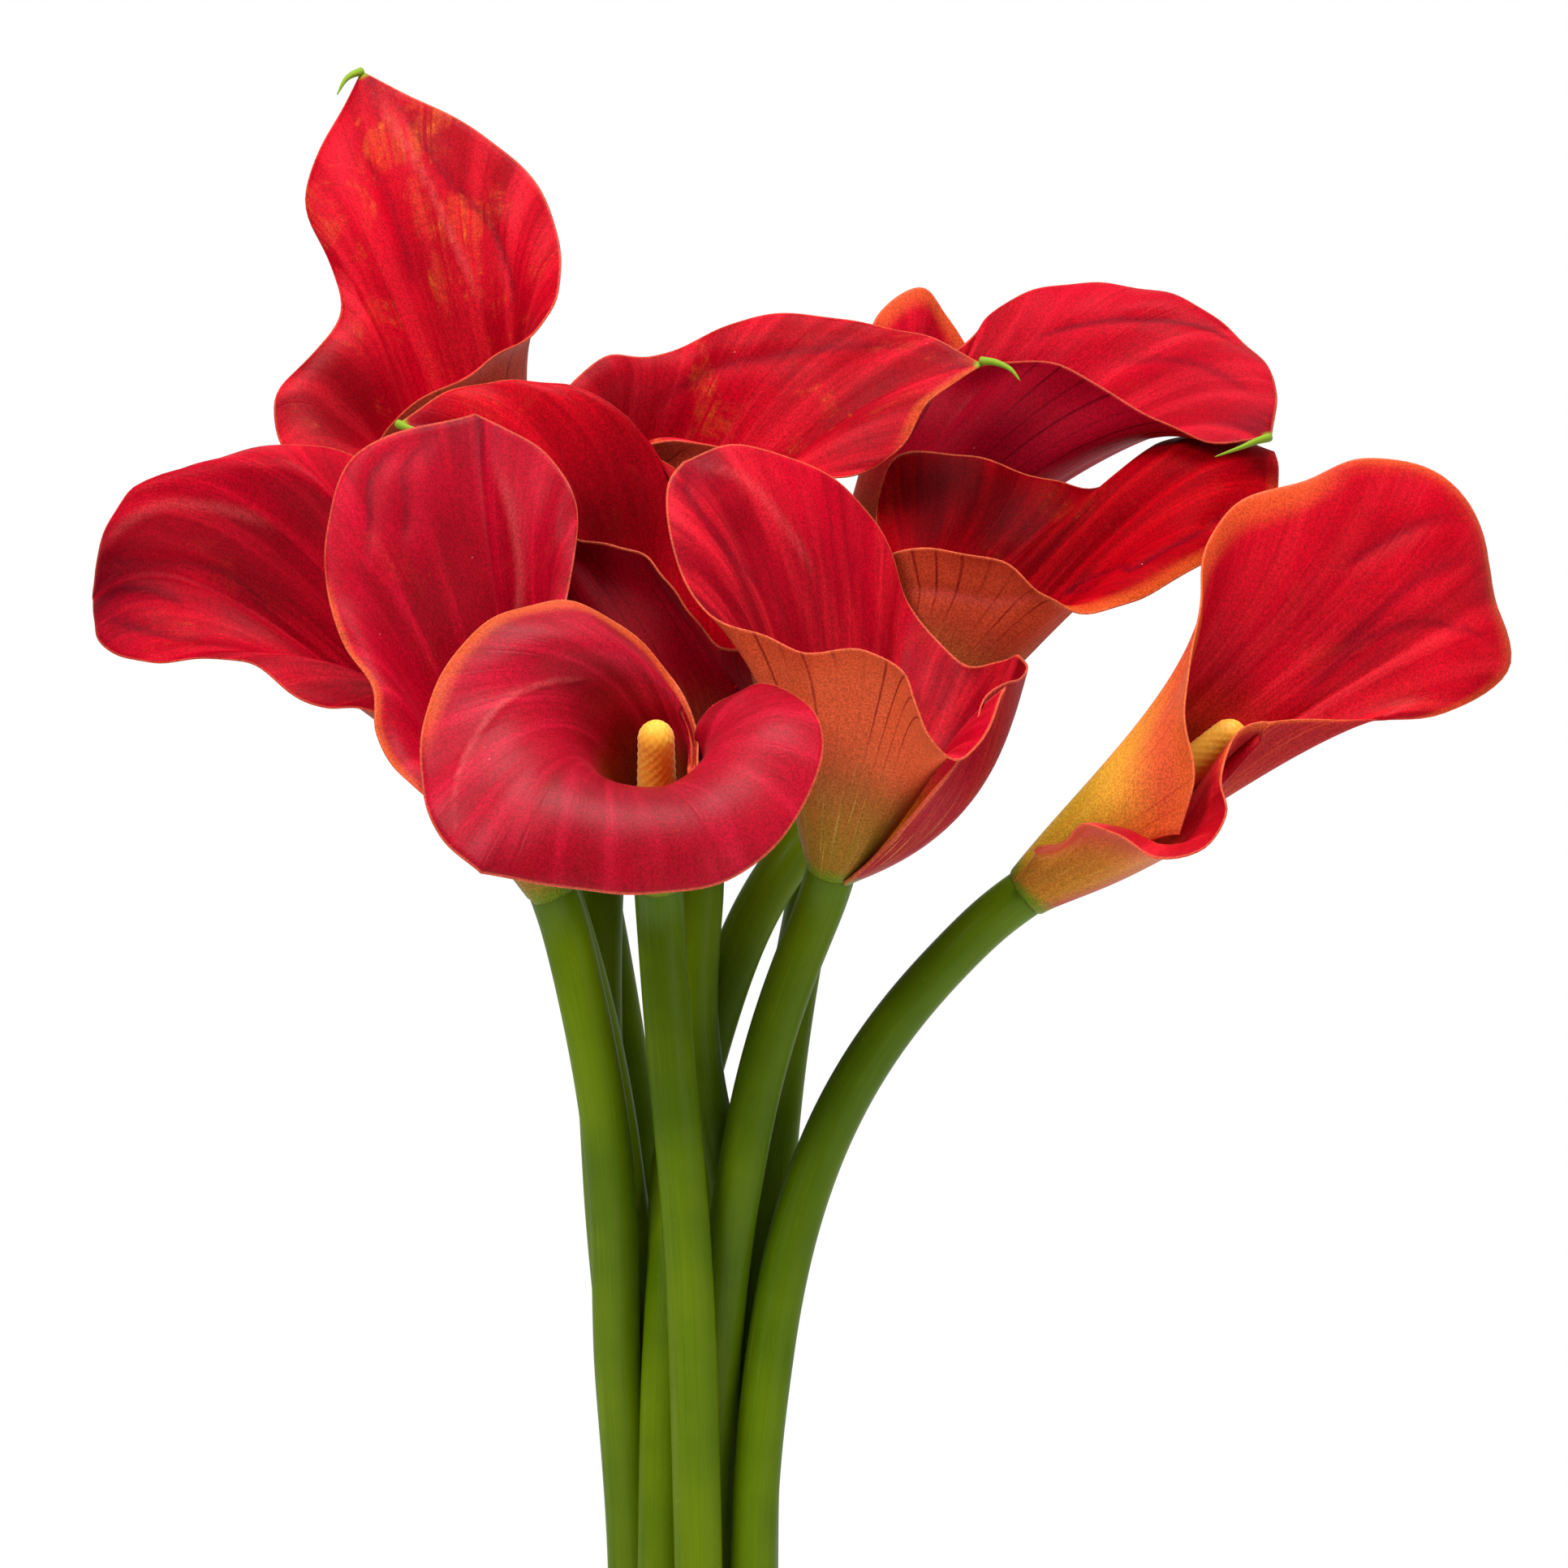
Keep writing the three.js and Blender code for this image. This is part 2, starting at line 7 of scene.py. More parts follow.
import bmesh
import bpy
import numpy as np
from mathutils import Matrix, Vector


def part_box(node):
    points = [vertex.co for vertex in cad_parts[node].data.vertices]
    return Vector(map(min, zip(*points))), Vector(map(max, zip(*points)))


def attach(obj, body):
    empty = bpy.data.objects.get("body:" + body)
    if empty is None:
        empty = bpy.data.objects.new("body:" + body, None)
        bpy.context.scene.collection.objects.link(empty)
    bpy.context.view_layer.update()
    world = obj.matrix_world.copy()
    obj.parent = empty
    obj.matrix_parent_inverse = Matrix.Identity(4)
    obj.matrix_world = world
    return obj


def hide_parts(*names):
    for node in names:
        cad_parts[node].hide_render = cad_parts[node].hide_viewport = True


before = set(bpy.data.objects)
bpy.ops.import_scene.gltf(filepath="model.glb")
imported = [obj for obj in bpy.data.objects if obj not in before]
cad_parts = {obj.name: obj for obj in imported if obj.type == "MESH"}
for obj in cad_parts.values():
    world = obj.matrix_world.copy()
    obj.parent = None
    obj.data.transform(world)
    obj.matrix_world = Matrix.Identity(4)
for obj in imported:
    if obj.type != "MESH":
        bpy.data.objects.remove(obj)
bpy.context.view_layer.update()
MM = 0.001

# ---- driving dimensions, as in the CAD ----
POT_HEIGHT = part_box("pot")[1].z / MM
POT_RIM_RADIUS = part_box("pot")[1].x / MM
SOIL_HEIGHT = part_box("soil")[1].z / MM
POT_FOOT_RADIUS = 50
POT_WALL = 6
POT_FLOOR = 8
RIM_BAND_HEIGHT = 26
RIM_BAND_STEP = 4
NECK_ABOVE_SOIL = 74
NECK_HEIGHT = SOIL_HEIGHT + NECK_ABOVE_SOIL
FOOT_SPREAD = 1.35
STEM_RADIUS = 4.9
STEM_GAP = 1.0
MARGIN_GAP = 1.3
COLLAR = 0.6
CLEARANCE = 0.3
SPADIX_RADIUS = 3.9
ROLL = 0.45           # a rib's last handle, as a share of its way from throat to rim

# ---- fineness of the meshes ----
AROUND = 150          # faces across a spathe
ALONG = 60            # faces from its foot to its rim
PETAL_THICKNESS = 0.9
RIM_THICKNESS = 0.4
RIM_RIPPLE = 0.32
RANDOM_FOLDS = 5
SPADIX_RINGS = 90
SPADIX_SIDES = 56
SPADIX_CAP = 4.2      # height of the rounded top
FLORETS_AROUND = 12
FLORET_CLIMB = 3.0    # radians of the florets' spiral for each mm
STEM_RINGS = 132
STEM_SIDES = 30
STEM_SMOOTHING = 14
CREASE_STEPS = 70
TAIL_RINGS = 22
TAIL_SIDES = 10
POT_SEGMENTS = 144
SOIL_RINGS = 70
SOIL_SEGMENTS = 200
CRUMBS = 420
PERLITE = 70

# ---- the ten flowers ----
# As in the CAD: base from the neck; throat, spadix and rim from the base; a rim point is
# x, y, z, arrival angle and any swelling; stem gives way points from the neck up.
# back: the side the middle rib lies on. overlap: how far the margins lap, in degrees.
# rise: how far up the tube each margin goes, as a share of it. roll replaces ROLL.
# look: colours, see LOOKS. tail: the green point at the tip. flank: how much of the flank's
# shade a rib takes outside, as rib and share. blush: orange rim, as rib from, rib to and
# width. pools: painted shade, soft dark places where a petal lies in shadow, as rib, rise,
# size and strength. creases: see creases().
# Another program wrote these numbers.
FLOWERS = [
    {
        "base": [-6, -26, 142], "throat": [-1, -28, 34], "radii": [10, 12], "spadix": [0, -25, 31],
        "back": [-1, -0.1, 0.25], "overlap": 50, "roll": 0.54, "look": "front", "blush": [[0, 0.35, 5]],
        "painted_shades": [[0.64, 0.68, 16, 0.25]],
        "creases": [
            [-0.35, 0.9, [
                [0.27, 0.59], [0.3, 0.65], [0.32, 0.72], [0.34, 0.78], [0.36, 0.83], [0.39, 0.88],
                [0.41, 0.91], [0.44, 0.95], [0.47, 0.99],
            ]],
        ],
        "inner": [
            [9, -22, 20, 30], [7, -16, 33, 50], [-2, -14, 46, 70], [-19, -20, 55, 85], [-35, -30, 49, 95],
            [-44, -38, 34, 105], [-45, -46, 20, 115], [-41, -52, 9, 125], [-33, -58, 2, 130],
        ],
        "outer": [
            [-16, -56, -1, 150], [0, -54, -2, 155], [16, -50, 1, 150], [28, -42, 13, 130],
            [33, -34, 28, 115], [28, -24, 36, 95], [18, -16, 38, 80], [10, -14, 33, 60], [9, -16, 25, 40],
        ],
        "stem": [
            [2, -16, 2], [1, -17, 40], [0, -19, 73], [-3, -20, 98], [-5, -21, 118], [-6, -24, 134],
        ],
    },
    {
        "base": [-28, -11, 140], "throat": [-11, -15, 32], "radii": [11, 15], "spadix": [-10, -14, 29],
        "overlap": 50, "look": "plum", "blush": [[0.1, 0.3, 2]], "painted_shades": [[0.47, 0.81, 14, 0.3]],
        "creases": [
            [1, 2, [[0.36, 0.85], [0.4, 0.88], [0.42, 0.93], [0.44, 0.96], [0.46, 0.99]]],
            [1, 2, [[0.42, 0.78], [0.44, 0.84], [0.45, 0.92], [0.47, 0.98]]],
            [-0.5, 2, [[0.53, 0.55], [0.56, 0.69], [0.55, 0.82], [0.52, 0.93]]],
        ],
        "inner": [
            [-4, -27, 24, 60], [-18, -33, 16, 100], [-28, -31, 22, 110], [-34, -25, 31, 100],
            [-35, -21, 40, 80], [-41, -17, 49, 70], [-45, -11, 61, 60], [-45, -7, 73, 50],
            [-40, -1, 88, 50], [-16, 9, 97, 50],
        ],
        "outer": [
            [-1, 1, 88, 60], [5, -5, 78, 70], [5, -11, 67, 80], [3, -19, 55, 80], [2, -27, 43, 80],
            [2, -31, 34, 70], [0, -31, 26, 60],
        ],
        "stem": [
            [-11, 1, 0], [-13, -2, 31], [-14, -6, 64], [-16, -9, 89], [-19, -10, 109], [-24, -11, 127],
        ],
    },
    {
        "base": [29, -14, 144], "throat": [7, -14, 24], "radii": [13, 16], "spadix": [8, -17, 29],
        "overlap": 56, "look": "blood", "flank": [[0, 0], [0.72, 0], [0.84, 1], [1, 1]],
        "painted_shades": [[0.57, 0.72, 16, 0.3], [0.7, 0.76, 14, 0.3]],
        "creases": [
            [0.6, 2.4, [[0.52, 0.63], [0.47, 0.79], [0.47, 0.94], [0.5, 0.99]]],
            [-0.5, 2.4, [[0.58, 0.68], [0.55, 0.82], [0.53, 0.92], [0.5, 0.99]]],
        ],
        "inner": [
            [34, -35, 36, 30], [32, -40, 30, 50], [28, -44, 24, 60], [24, -46, 22, 75], [18, -48, 26, 75],
            [16, -48, 33, 70], [13, -46, 39, 60], [6, -44, 43, 45], [-6, -38, 43, 38], [-17, -30, 47, 42],
            [-26, -26, 52, 60], [-32, -20, 64, 80], [-33, -14, 77, 80], [-30, -8, 82, 75],
        ],
        "outer": [
            [-20, -2, 86, 70], [-3, 6, 81, 60], [9, 12, 71, 50], [16, 14, 54, 45], [22, 10, 46, 45],
            [28, 6, 41, 30, 2], [34, 2, 42, 20, 5], [38, -4, 43, 5, 8], [40, -10, 41, 0, 10],
            [38, -18, 38, -5, 12], [34, -26, 37, -5, 12], [30, -32, 33, 0, 9], [27, -38, 26, 0, 5],
        ],
        "stem": [
            [4, -4, 1], [4, -5, 31], [6, -7, 63], [10, -9, 86], [15, -11, 107], [20, -12, 126],
        ],
    },
    {
        "base": [2, -1, 147], "throat": [0, 1, 33], "radii": [14, 17], "spadix": [-1, 0, 46],
        "overlap": 50, "look": "wine",
        "tail": [[-62, 1, 88], [-60, -1, 87], [-58, -3, 86.5], [-55.5, -4, 86]],
        "painted_shades": [[0.4, 0.67, 16, 0.6]],
        "creases": [
            [0.6, 1.6, [[0.44, 0.73], [0.47, 0.82], [0.49, 0.94], [0.5, 0.98]]],
        ],
        "inner": [
            [9, -5, 42, 20], [12, 3, 52, 30], [6, 11, 65, 40], [-2, 13, 76, 50], [-13, 11, 83, 60],
            [-22, 9, 94, 70], [-37, 7, 97, 80], [-51, 5, 95, 85], [-62, 1, 88, 85],
        ],
        "outer": [
            [-50, -3, 80, 60, 6], [-37, -5, 70, 45, 8], [-25, -7, 64, 40, 6], [-16, -11, 62, 40, 2],
            [-8, -15, 57, 40], [-2, -17, 49, 35], [4, -15, 42, 25], [11, -11, 41, 15],
        ],
        "stem": [
            [8, 12, -1], [6, 8, 38], [2, 2, 80], [-1, -1, 101], [0, -2, 122], [1, -1, 135],
        ],
    },
    {
        "base": [69, -5, 139], "throat": [29, -7, 20], "radii": [11, 14], "spadix": [44, -3, 34],
        "overlap": 50, "rise": [0.8, 0.3], "look": "gold",
        "flank": [[0, 0], [0.5, 0], [0.6, 0.9], [0.8, 0.9], [0.86, 0.45], [1, 0.45]],
        "blush": [[0.35, 0.75, 3], [0, 0.33, 9]], "painted_shades": [[0.41, 0.72, 16, 0.3]],
        "creases": [
            [0.7, 2.2, [[0.38, 0.78], [0.4, 0.85], [0.42, 0.91], [0.45, 0.98]]],
            [0.8, 2.4, [[0.45, 0.65], [0.45, 0.72], [0.45, 0.81], [0.46, 0.89], [0.48, 0.99]]],
            [0.6, 2.2, [[0.48, 0.61], [0.47, 0.67], [0.47, 0.76], [0.51, 0.9], [0.53, 0.98]]],
        ],
        "inner": [
            [29, -27, 12, 60, 2], [32, -29, 22, 50, 3], [31, -27, 33, 45, 3], [31, -23, 43, 50, 2],
            [34, -15, 58, 60], [37, -7, 72, 65], [44, 1, 80, 65], [57, 7, 84, 60], [69, 11, 89, 60],
            [81, 15, 88, 60], [92, 17, 80, 65], [98, 19, 61, 70],
        ],
        "outer": [
            [100, 13, 46, 70], [86, 3, 37, 60, -2], [69, -3, 35, 50, -5], [53, -9, 35, 35, -7],
            [42, -17, 32, 35, -6], [38, -29, 23, 55, -1], [38, -37, 16, 90, 3], [33, -45, 9, 120, 6],
            [23, -47, 7, 130, 7], [16, -43, 12, 120, 6], [10, -35, 14, 95, 4], [6, -29, 10, 75, 3],
            [1, -23, 9, 50, 2],
        ],
        "stem": [
            [12, -10, 1], [12, -8, 23], [14, -4, 49], [18, -3, 64], [24, -3, 84], [32, -4, 102],
            [44, -5, 118], [58, -5, 132],
        ],
    },
    {
        "base": [-35, 8, 155], "throat": [-19, -4, 31], "radii": [11, 15], "spadix": [-18, -4, 29],
        "overlap": 50, "look": "ripple", "painted_shades": [[0.45, 0.65, 13, 0.4]],
        "creases": [
            [-0.7, 2.2, [
                [0.38, 0.68], [0.39, 0.74], [0.4, 0.79], [0.41, 0.84], [0.42, 0.9], [0.44, 0.96],
                [0.46, 1],
            ]],
            [0.9, 2.6, [
                [0.47, 0.57], [0.48, 0.63], [0.47, 0.7], [0.48, 0.78], [0.49, 0.86], [0.48, 0.95],
                [0.47, 1],
            ]],
            [0.8, 2, [[0.55, 0.77], [0.53, 0.82], [0.52, 0.89], [0.51, 0.95], [0.51, 0.99]]],
            [0.7, 2, [[0.58, 0.73], [0.6, 0.84], [0.58, 0.9], [0.55, 0.95], [0.54, 0.99]]],
        ],
        "inner": [
            [-8, 0, 34, 40], [-14, 8, 52, 50], [-24, 10, 68, 60], [-44, 6, 76, 70], [-63, 2, 73, 80],
            [-78, 0, 68, 90], [-86, 2, 59, 95], [-90, 12, 45, 110],
        ],
        "outer": [
            [-87, 4, 35, 100], [-76, -4, 31, 85], [-56, -10, 31, 72], [-42, -16, 22, 70],
            [-31, -18, 21, 72], [-16, -18, 20, 80], [-6, -14, 25, 70],
        ],
        "stem": [
            [-2, 5, -1], [-5, 5, 30], [-10, 4, 63], [-14, 3, 86], [-19, 3, 111], [-23, 3, 129],
            [-28, 3, 142],
        ],
    },
    {
        "base": [39, 16, 167], "throat": [19, -2, 25], "radii": [11, 14], "spadix": [21, -2, 27],
        "overlap": 50, "look": "copper", "blush": [[0.55, 0.8, 4]],
        "painted_shades": [[0.22, 0.85, 16, 0.75], [0.19, 0.74, 12, 0.6]],
        "creases": [
            [0.8, 1.6, [[0.85, 0.87], [0.53, 0.55], [0.68, 0.81], [0.63, 0.88], [0.55, 0.92]]],
            [-0.7, 2, [[0.97, 0.68], [0.9, 0.68], [0.84, 0.73], [0.8, 1]]],
        ],
        "inner": [
            [8, 6, 36, 40], [0, 10, 48, 55], [4, 20, 63, 50], [19, 24, 63, 50], [37, 26, 58, 55],
            [48, 26, 57, 60], [58, 26, 64, 65], [72, 28, 69, 70], [84, 28, 64, 80],
        ],
        "outer": [
            [84, 20, 55, 85], [78, 10, 46, 90], [66, -2, 39, 95], [53, -12, 32, 105], [42, -18, 29, 110],
            [33, -22, 32, 80], [25, -22, 39, 60], [12, -18, 42, 50], [2, -12, 41, 50], [-2, -6, 35, 50],
        ],
        "stem": [
            [-5, -8, 1], [-5, -6, 39], [-2, -2, 64], [1, 3, 88], [3, 6, 107], [6, 8, 122], [12, 9, 142],
            [23, 10, 157],
        ],
    },
    {
        "base": [-13, 46, 190], "throat": [4, -12, 29], "radii": [11, 15], "spadix": [4, -13, 31],
        "overlap": 50, "look": "ember",
        "tail": [[73.5, -22, 59.5], [76.5, -24, 59], [79.5, -26, 57.5], [81.5, -27, 55]],
        "blush": [[0.5, 0.6, 3]], "painted_shades": [[0.2, 0.8, 14, 0.4], [0.58, 0.9, 14, 0.22]],
        "creases": [
            [0.6, 2.5, [[0.2, 0.73], [0.28, 0.81], [0.35, 0.84], [0.42, 0.92], [0.49, 0.98]]],
        ],
        "inner": [
            [-6, -26, 32, 50], [-14, -24, 40, 70], [-15, -18, 51, 80], [-5, -10, 61, 70], [4, -6, 61, 60],
            [14, -4, 65, 60], [27, -4, 70, 60], [45, -8, 69, 65], [61, -14, 65, 70], [74, -22, 59, 75],
        ],
        "outer": [
            [62, -26, 50, 75], [56, -28, 40, 75], [45, -28, 35, 75], [33, -30, 36, 75], [21, -30, 40, 80],
            [11, -30, 42, 90], [4, -30, 41, 100], [-2, -30, 36, 95], [-7, -28, 28, 70],
        ],
        "stem": [
            [-10, 11, -1], [-13, 12, 38], [-16, 13, 65], [-19, 14, 96], [-20, 15, 116], [-20, 17, 138],
            [-19, 22, 159], [-16, 28, 176],
        ],
    },
    {
        "base": [33, 68, 195], "throat": [19, -4, 31], "radii": [12, 18], "spadix": [18, -4, 29],
        "overlap": 50, "look": "cherry",
        "tail": [[88.5, -34, 39], [85.5, -38, 38], [82, -41, 36.5], [76.5, -43, 34.5]],
        "flank": [[0, 0], [0.8, 0], [0.9, 1], [1, 1]], "blush": [[0.86, 1, 6]],
        "painted_shades": [[0.66, 0.73, 14, 0.35], [0.42, 0.85, 12, 0.25]],
        "creases": [
            [0.6, 1.6, [
                [0.18, 0.78], [0.23, 0.82], [0.28, 0.86], [0.32, 0.92], [0.35, 0.97], [0.39, 0.99],
            ]],
            [0.7, 2.4, [[0.32, 0.74], [0.37, 0.83], [0.42, 0.9], [0.46, 0.97]]],
        ],
        "inner": [
            [21, 4, 58, 30], [27, 8, 63, 35], [31, 10, 68, 40], [40, 12, 73, 50], [54, 12, 75, 55],
            [70, 8, 72, 60], [83, 2, 64, 70], [91, -16, 52, 80], [89, -34, 39, 90],
        ],
        "outer": [
            [75, -38, 38, 80], [65, -38, 42, 60], [54, -32, 49, 50], [44, -26, 55, 40], [34, -16, 56, 40],
            [22, -10, 55, 50], [10, -4, 58, 60], [5, 4, 64, 65], [11, 10, 72, 60], [17, 14, 74, 50],
            [22, 16, 68, 40], [27, 16, 60, 30],
        ],
        "stem": [
            [12, 2, 0], [13, 2, 38], [15, 4, 72], [17, 8, 96], [20, 13, 118], [24, 20, 138],
            [30, 30, 159], [36, 42, 179],
        ],
    },
    {
        "base": [-41, 54, 209], "throat": [-9, -6, 25], "radii": [12, 17], "spadix": [-12, -8, 31],
        "overlap": 50, "look": "ember",
        "tail": [[-31, 14, 106], [-33, 12, 105], [-34.5, 11, 103.5], [-36, 10, 100.5]],
        "painted_shades": [[0.23, 0.67, 14, 0.45], [0.51, 0.69, 9, 0.25]],
        "creases": [
            [-0.6, 1.4, [[0.6, 0.62], [0.57, 0.73], [0.54, 0.86], [0.52, 0.92], [0.5, 0.98]]],
            [0.8, 2, [[0.63, 0.6], [0.66, 0.72], [0.62, 0.82], [0.56, 0.88], [0.53, 0.96], [0.51, 0.99]]],
            [0.6, 2.5, [[0.48, 0.64], [0.49, 0.71], [0.49, 0.82], [0.47, 0.92]]],
        ],
        "inner": [
            [-22, -16, 17, 60], [-32, -22, 13, 90], [-42, -26, 18, 110], [-47, -20, 32, 105],
            [-34, -4, 53, 60], [-42, 4, 78, 50], [-31, 14, 106, 40],
        ],
        "outer": [
            [-4, 8, 91, 50], [7, 4, 81, 60], [13, -6, 63, 70], [10, -18, 50, 80], [-2, -34, 39, 90],
            [-18, -36, 30, 95], [-27, -32, 18, 95],
        ],
        "stem": [
            [-1, 17, -2], [-5, 19, 37], [-10, 21, 79], [-14, 23, 104], [-18, 28, 129], [-23, 36, 155],
            [-31, 44, 181],
        ],
    },
]


# ---- curves and surfaces ----
def unit(v):
    return v / np.maximum(np.linalg.norm(v, axis=-1, keepdims=True), 1e-9)


def ease(a, b, x):
    t = np.clip((x - a) / (b - a), 0, 1)
    return t * t * (3 - 2 * t)


def spline(at, points, t):
    """Smooth curve through points; at gives each point's place on it."""
    at = np.asarray(at, float)
    points = np.asarray(points, float)
    h = np.diff(at)
    slope = np.diff(points, axis=0) / h[:, None]
    tangent = np.zeros_like(points)
    tangent[0] = slope[0]
    tangent[-1] = slope[-1]
    before = h[:-1, None]
    after = h[1:, None]
    tangent[1:-1] = (slope[:-1] * after + slope[1:] * before) / (before + after)
    k = np.clip(np.searchsorted(at, t, side="right") - 1, 0, len(at) - 2)
    step = h[k][:, None]
    s = ((t - at[k]) / h[k])[:, None]
    return (
        (2 * s**3 - 3 * s**2 + 1) * points[k]
        + (s**3 - 2 * s**2 + s) * step * tangent[k]
        + (3 * s**2 - 2 * s**3) * points[k + 1]
        + (s**3 - s**2) * step * tangent[k + 1]
    )


def places(points, start, end):
    """Places for the points of a rim half, part by distance and part by count."""
    steps = np.linalg.norm(np.diff(points[:, :3], axis=0), axis=1)
    run = np.concatenate([[0], np.cumsum(steps)]) / steps.sum()
    count = np.linspace(0, 1, len(points))
    return start + (end - start) * (0.5 * run + 0.5 * count)


def rim_rows(rows):
    return np.array([list(r) + [0.0] * (5 - len(r)) for r in rows], float)


def spathe_surface(flower, u, v):
    """The outer face of a spathe at every u (margin to margin) and v (foot to rim)."""
    throat = np.array(flower["throat"], float)
    tube = np.linalg.norm(throat)
    axis = throat / tube
    inner = rim_rows(flower["inner"])
    outer = np.vstack([inner[-1:], rim_rows(flower["outer"])])
    inner_at = places(inner, 0, 0.5)
    outer_at = places(outer, 0.5, 1)
    back = np.array(flower["back"], float) if "back" in flower else inner[-1, :3] - throat
    back = unit(back - axis * (back @ axis))
    side = np.cross(axis, back)
    rim = np.where(
        (u <= 0.5)[:, None],
        spline(inner_at, inner, np.minimum(u, 0.5)),
        spline(outer_at, outer, np.maximum(u, 0.5)),
    )
    quarter = spline(inner_at, inner, np.array([0.25]))[0, :3]
    across = quarter - spline(outer_at, outer, np.array([0.75]))[0, :3]
    turn = -1.0 if across @ side > 0 else 1.0
    point = rim[:, :3]
    angle = turn * (2 * u - 1) * (math.pi + math.radians(flower["overlap"]) / 2)
    out = np.cos(angle)[:, None] * back + np.sin(angle)[:, None] * side
    rise_in, rise_out = flower.get("rise", (1, 1))
    g = 1 - (1 - rise_in) * (1 - ease(0, 0.22, u)) - (1 - rise_out) * ease(0.78, 1, u)
    shift = -MARGIN_GAP * (1 - ease(0, 0.2, u)) + MARGIN_GAP * ease(0.8, 1, u)
    r_base = STEM_RADIUS + COLLAR
    r_mid, r_throat = flower["radii"]
    swell = rim[:, 4]

    def ring(height, radius):
        return np.outer(height, axis) + radius[:, None] * out

    away = point - throat
    away = unit(away - np.outer(away @ axis, axis))
    arrival = np.radians(rim[:, 3])[:, None]
    arrive = np.cos(arrival) * axis + np.sin(arrival) * away
    c0 = ring(0 * u, r_base + shift * 0.6)
    c1 = ring(tube * 0.5 * g, r_base + (r_mid - r_base) * g + shift + swell * 0.5)
    c2 = ring(tube * g, r_base + (r_throat - r_base) * g + shift + swell)
    roll = flower.get("roll", ROLL)
    c3 = point - arrive * roll * np.linalg.norm(point - c2, axis=1, keepdims=True)
    w = (1 - v)[None, :, None]
    t = v[None, :, None]
    c0, c1, c2, c3, c4 = (c[:, None, :] for c in (c0, c1, c2, c3, point))
    grid = w**4 * c0 + 4 * w**3 * t * c1 + 6 * w**2 * t**2 * c2 + 4 * w * t**3 * c3 + t**4 * c4
    return grid, turn


def grid_normals(grid):
    return unit(np.cross(np.gradient(grid, axis=0), np.gradient(grid, axis=1)))


# ---- meshes ----
def make_object(name, points, faces, attributes=None, smooth=True):
    """A Blender object from points in millimetres; its faces are turned outward."""
    mesh = bpy.data.meshes.new(name)
    mesh.from_pydata([tuple(p) for p in np.asarray(points) * MM], [], faces)
    for key, values in (attributes or {}).items():
        layer = mesh.attributes.new(key, "FLOAT", "POINT")
        layer.data.foreach_set("value", np.asarray(values, np.float32))
    work = bmesh.new()
    work.from_mesh(mesh)
    bmesh.ops.recalc_face_normals(work, faces=work.faces)
    work.to_mesh(mesh)
    work.free()
    mesh.polygons.foreach_set("use_smooth", [smooth] * len(mesh.polygons))
    mesh.update()
    obj = bpy.data.objects.new(name, mesh)
    bpy.context.scene.collection.objects.link(obj)
    return obj


def finish_piece(obj, slot, material, *nodes):
    obj.data.materials.append(material)
    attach(obj, "root")
    if nodes:
        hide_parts(*nodes)


def grid_faces(rows, columns, offset=0):
    """Quads of a grid whose points are numbered row by row."""
    i, j = np.meshgrid(np.arange(rows - 1), np.arange(columns - 1), indexing="ij")
    a = (offset + i * columns + j).ravel()
    return np.stack([a, a + columns, a + columns + 1, a + 1], axis=1).tolist()


def ring_faces(rings, sides):
    """Quads from each ring of points to the next; a ring's last point meets its first."""
    faces = []
    for k in range(rings - 1):
        for s in range(sides):
            a, b = k * sides + s, k * sides + (s + 1) % sides
            faces.append([a, b, b + sides, a + sides])
    return faces


def tube_mesh(centres, radii, sides):
    """Points and faces of a closed round bar; radii may vary along and around it."""
    centres = np.asarray(centres, float)
    run = unit(np.gradient(centres, axis=0))
    across = unit(np.cross(run, [0, 1, 0.01]))
    other = np.cross(run, across)
    angle = np.linspace(0, 2 * math.pi, sides, endpoint=False)
    radius = np.broadcast_to(np.asarray(radii, float), (len(centres), sides))
    ring = (
        centres[:, None, :]
        + (radius * np.cos(angle))[:, :, None] * across[:, None, :]
        + (radius * np.sin(angle))[:, :, None] * other[:, None, :]
    )
    points = ring.reshape(-1, 3)
    faces = ring_faces(len(centres), sides)
    faces.append(list(range(sides))[::-1])
    faces.append([(len(centres) - 1) * sides + s for s in range(sides)])
    return points, faces


# ---- node helper ----
def srgb(r, g, b):
    def linear(c):
        c /= 255
        return c / 12.92 if c <= 0.04045 else ((c + 0.055) / 1.055) ** 2.4

    return (linear(r), linear(g), linear(b), 1.0)


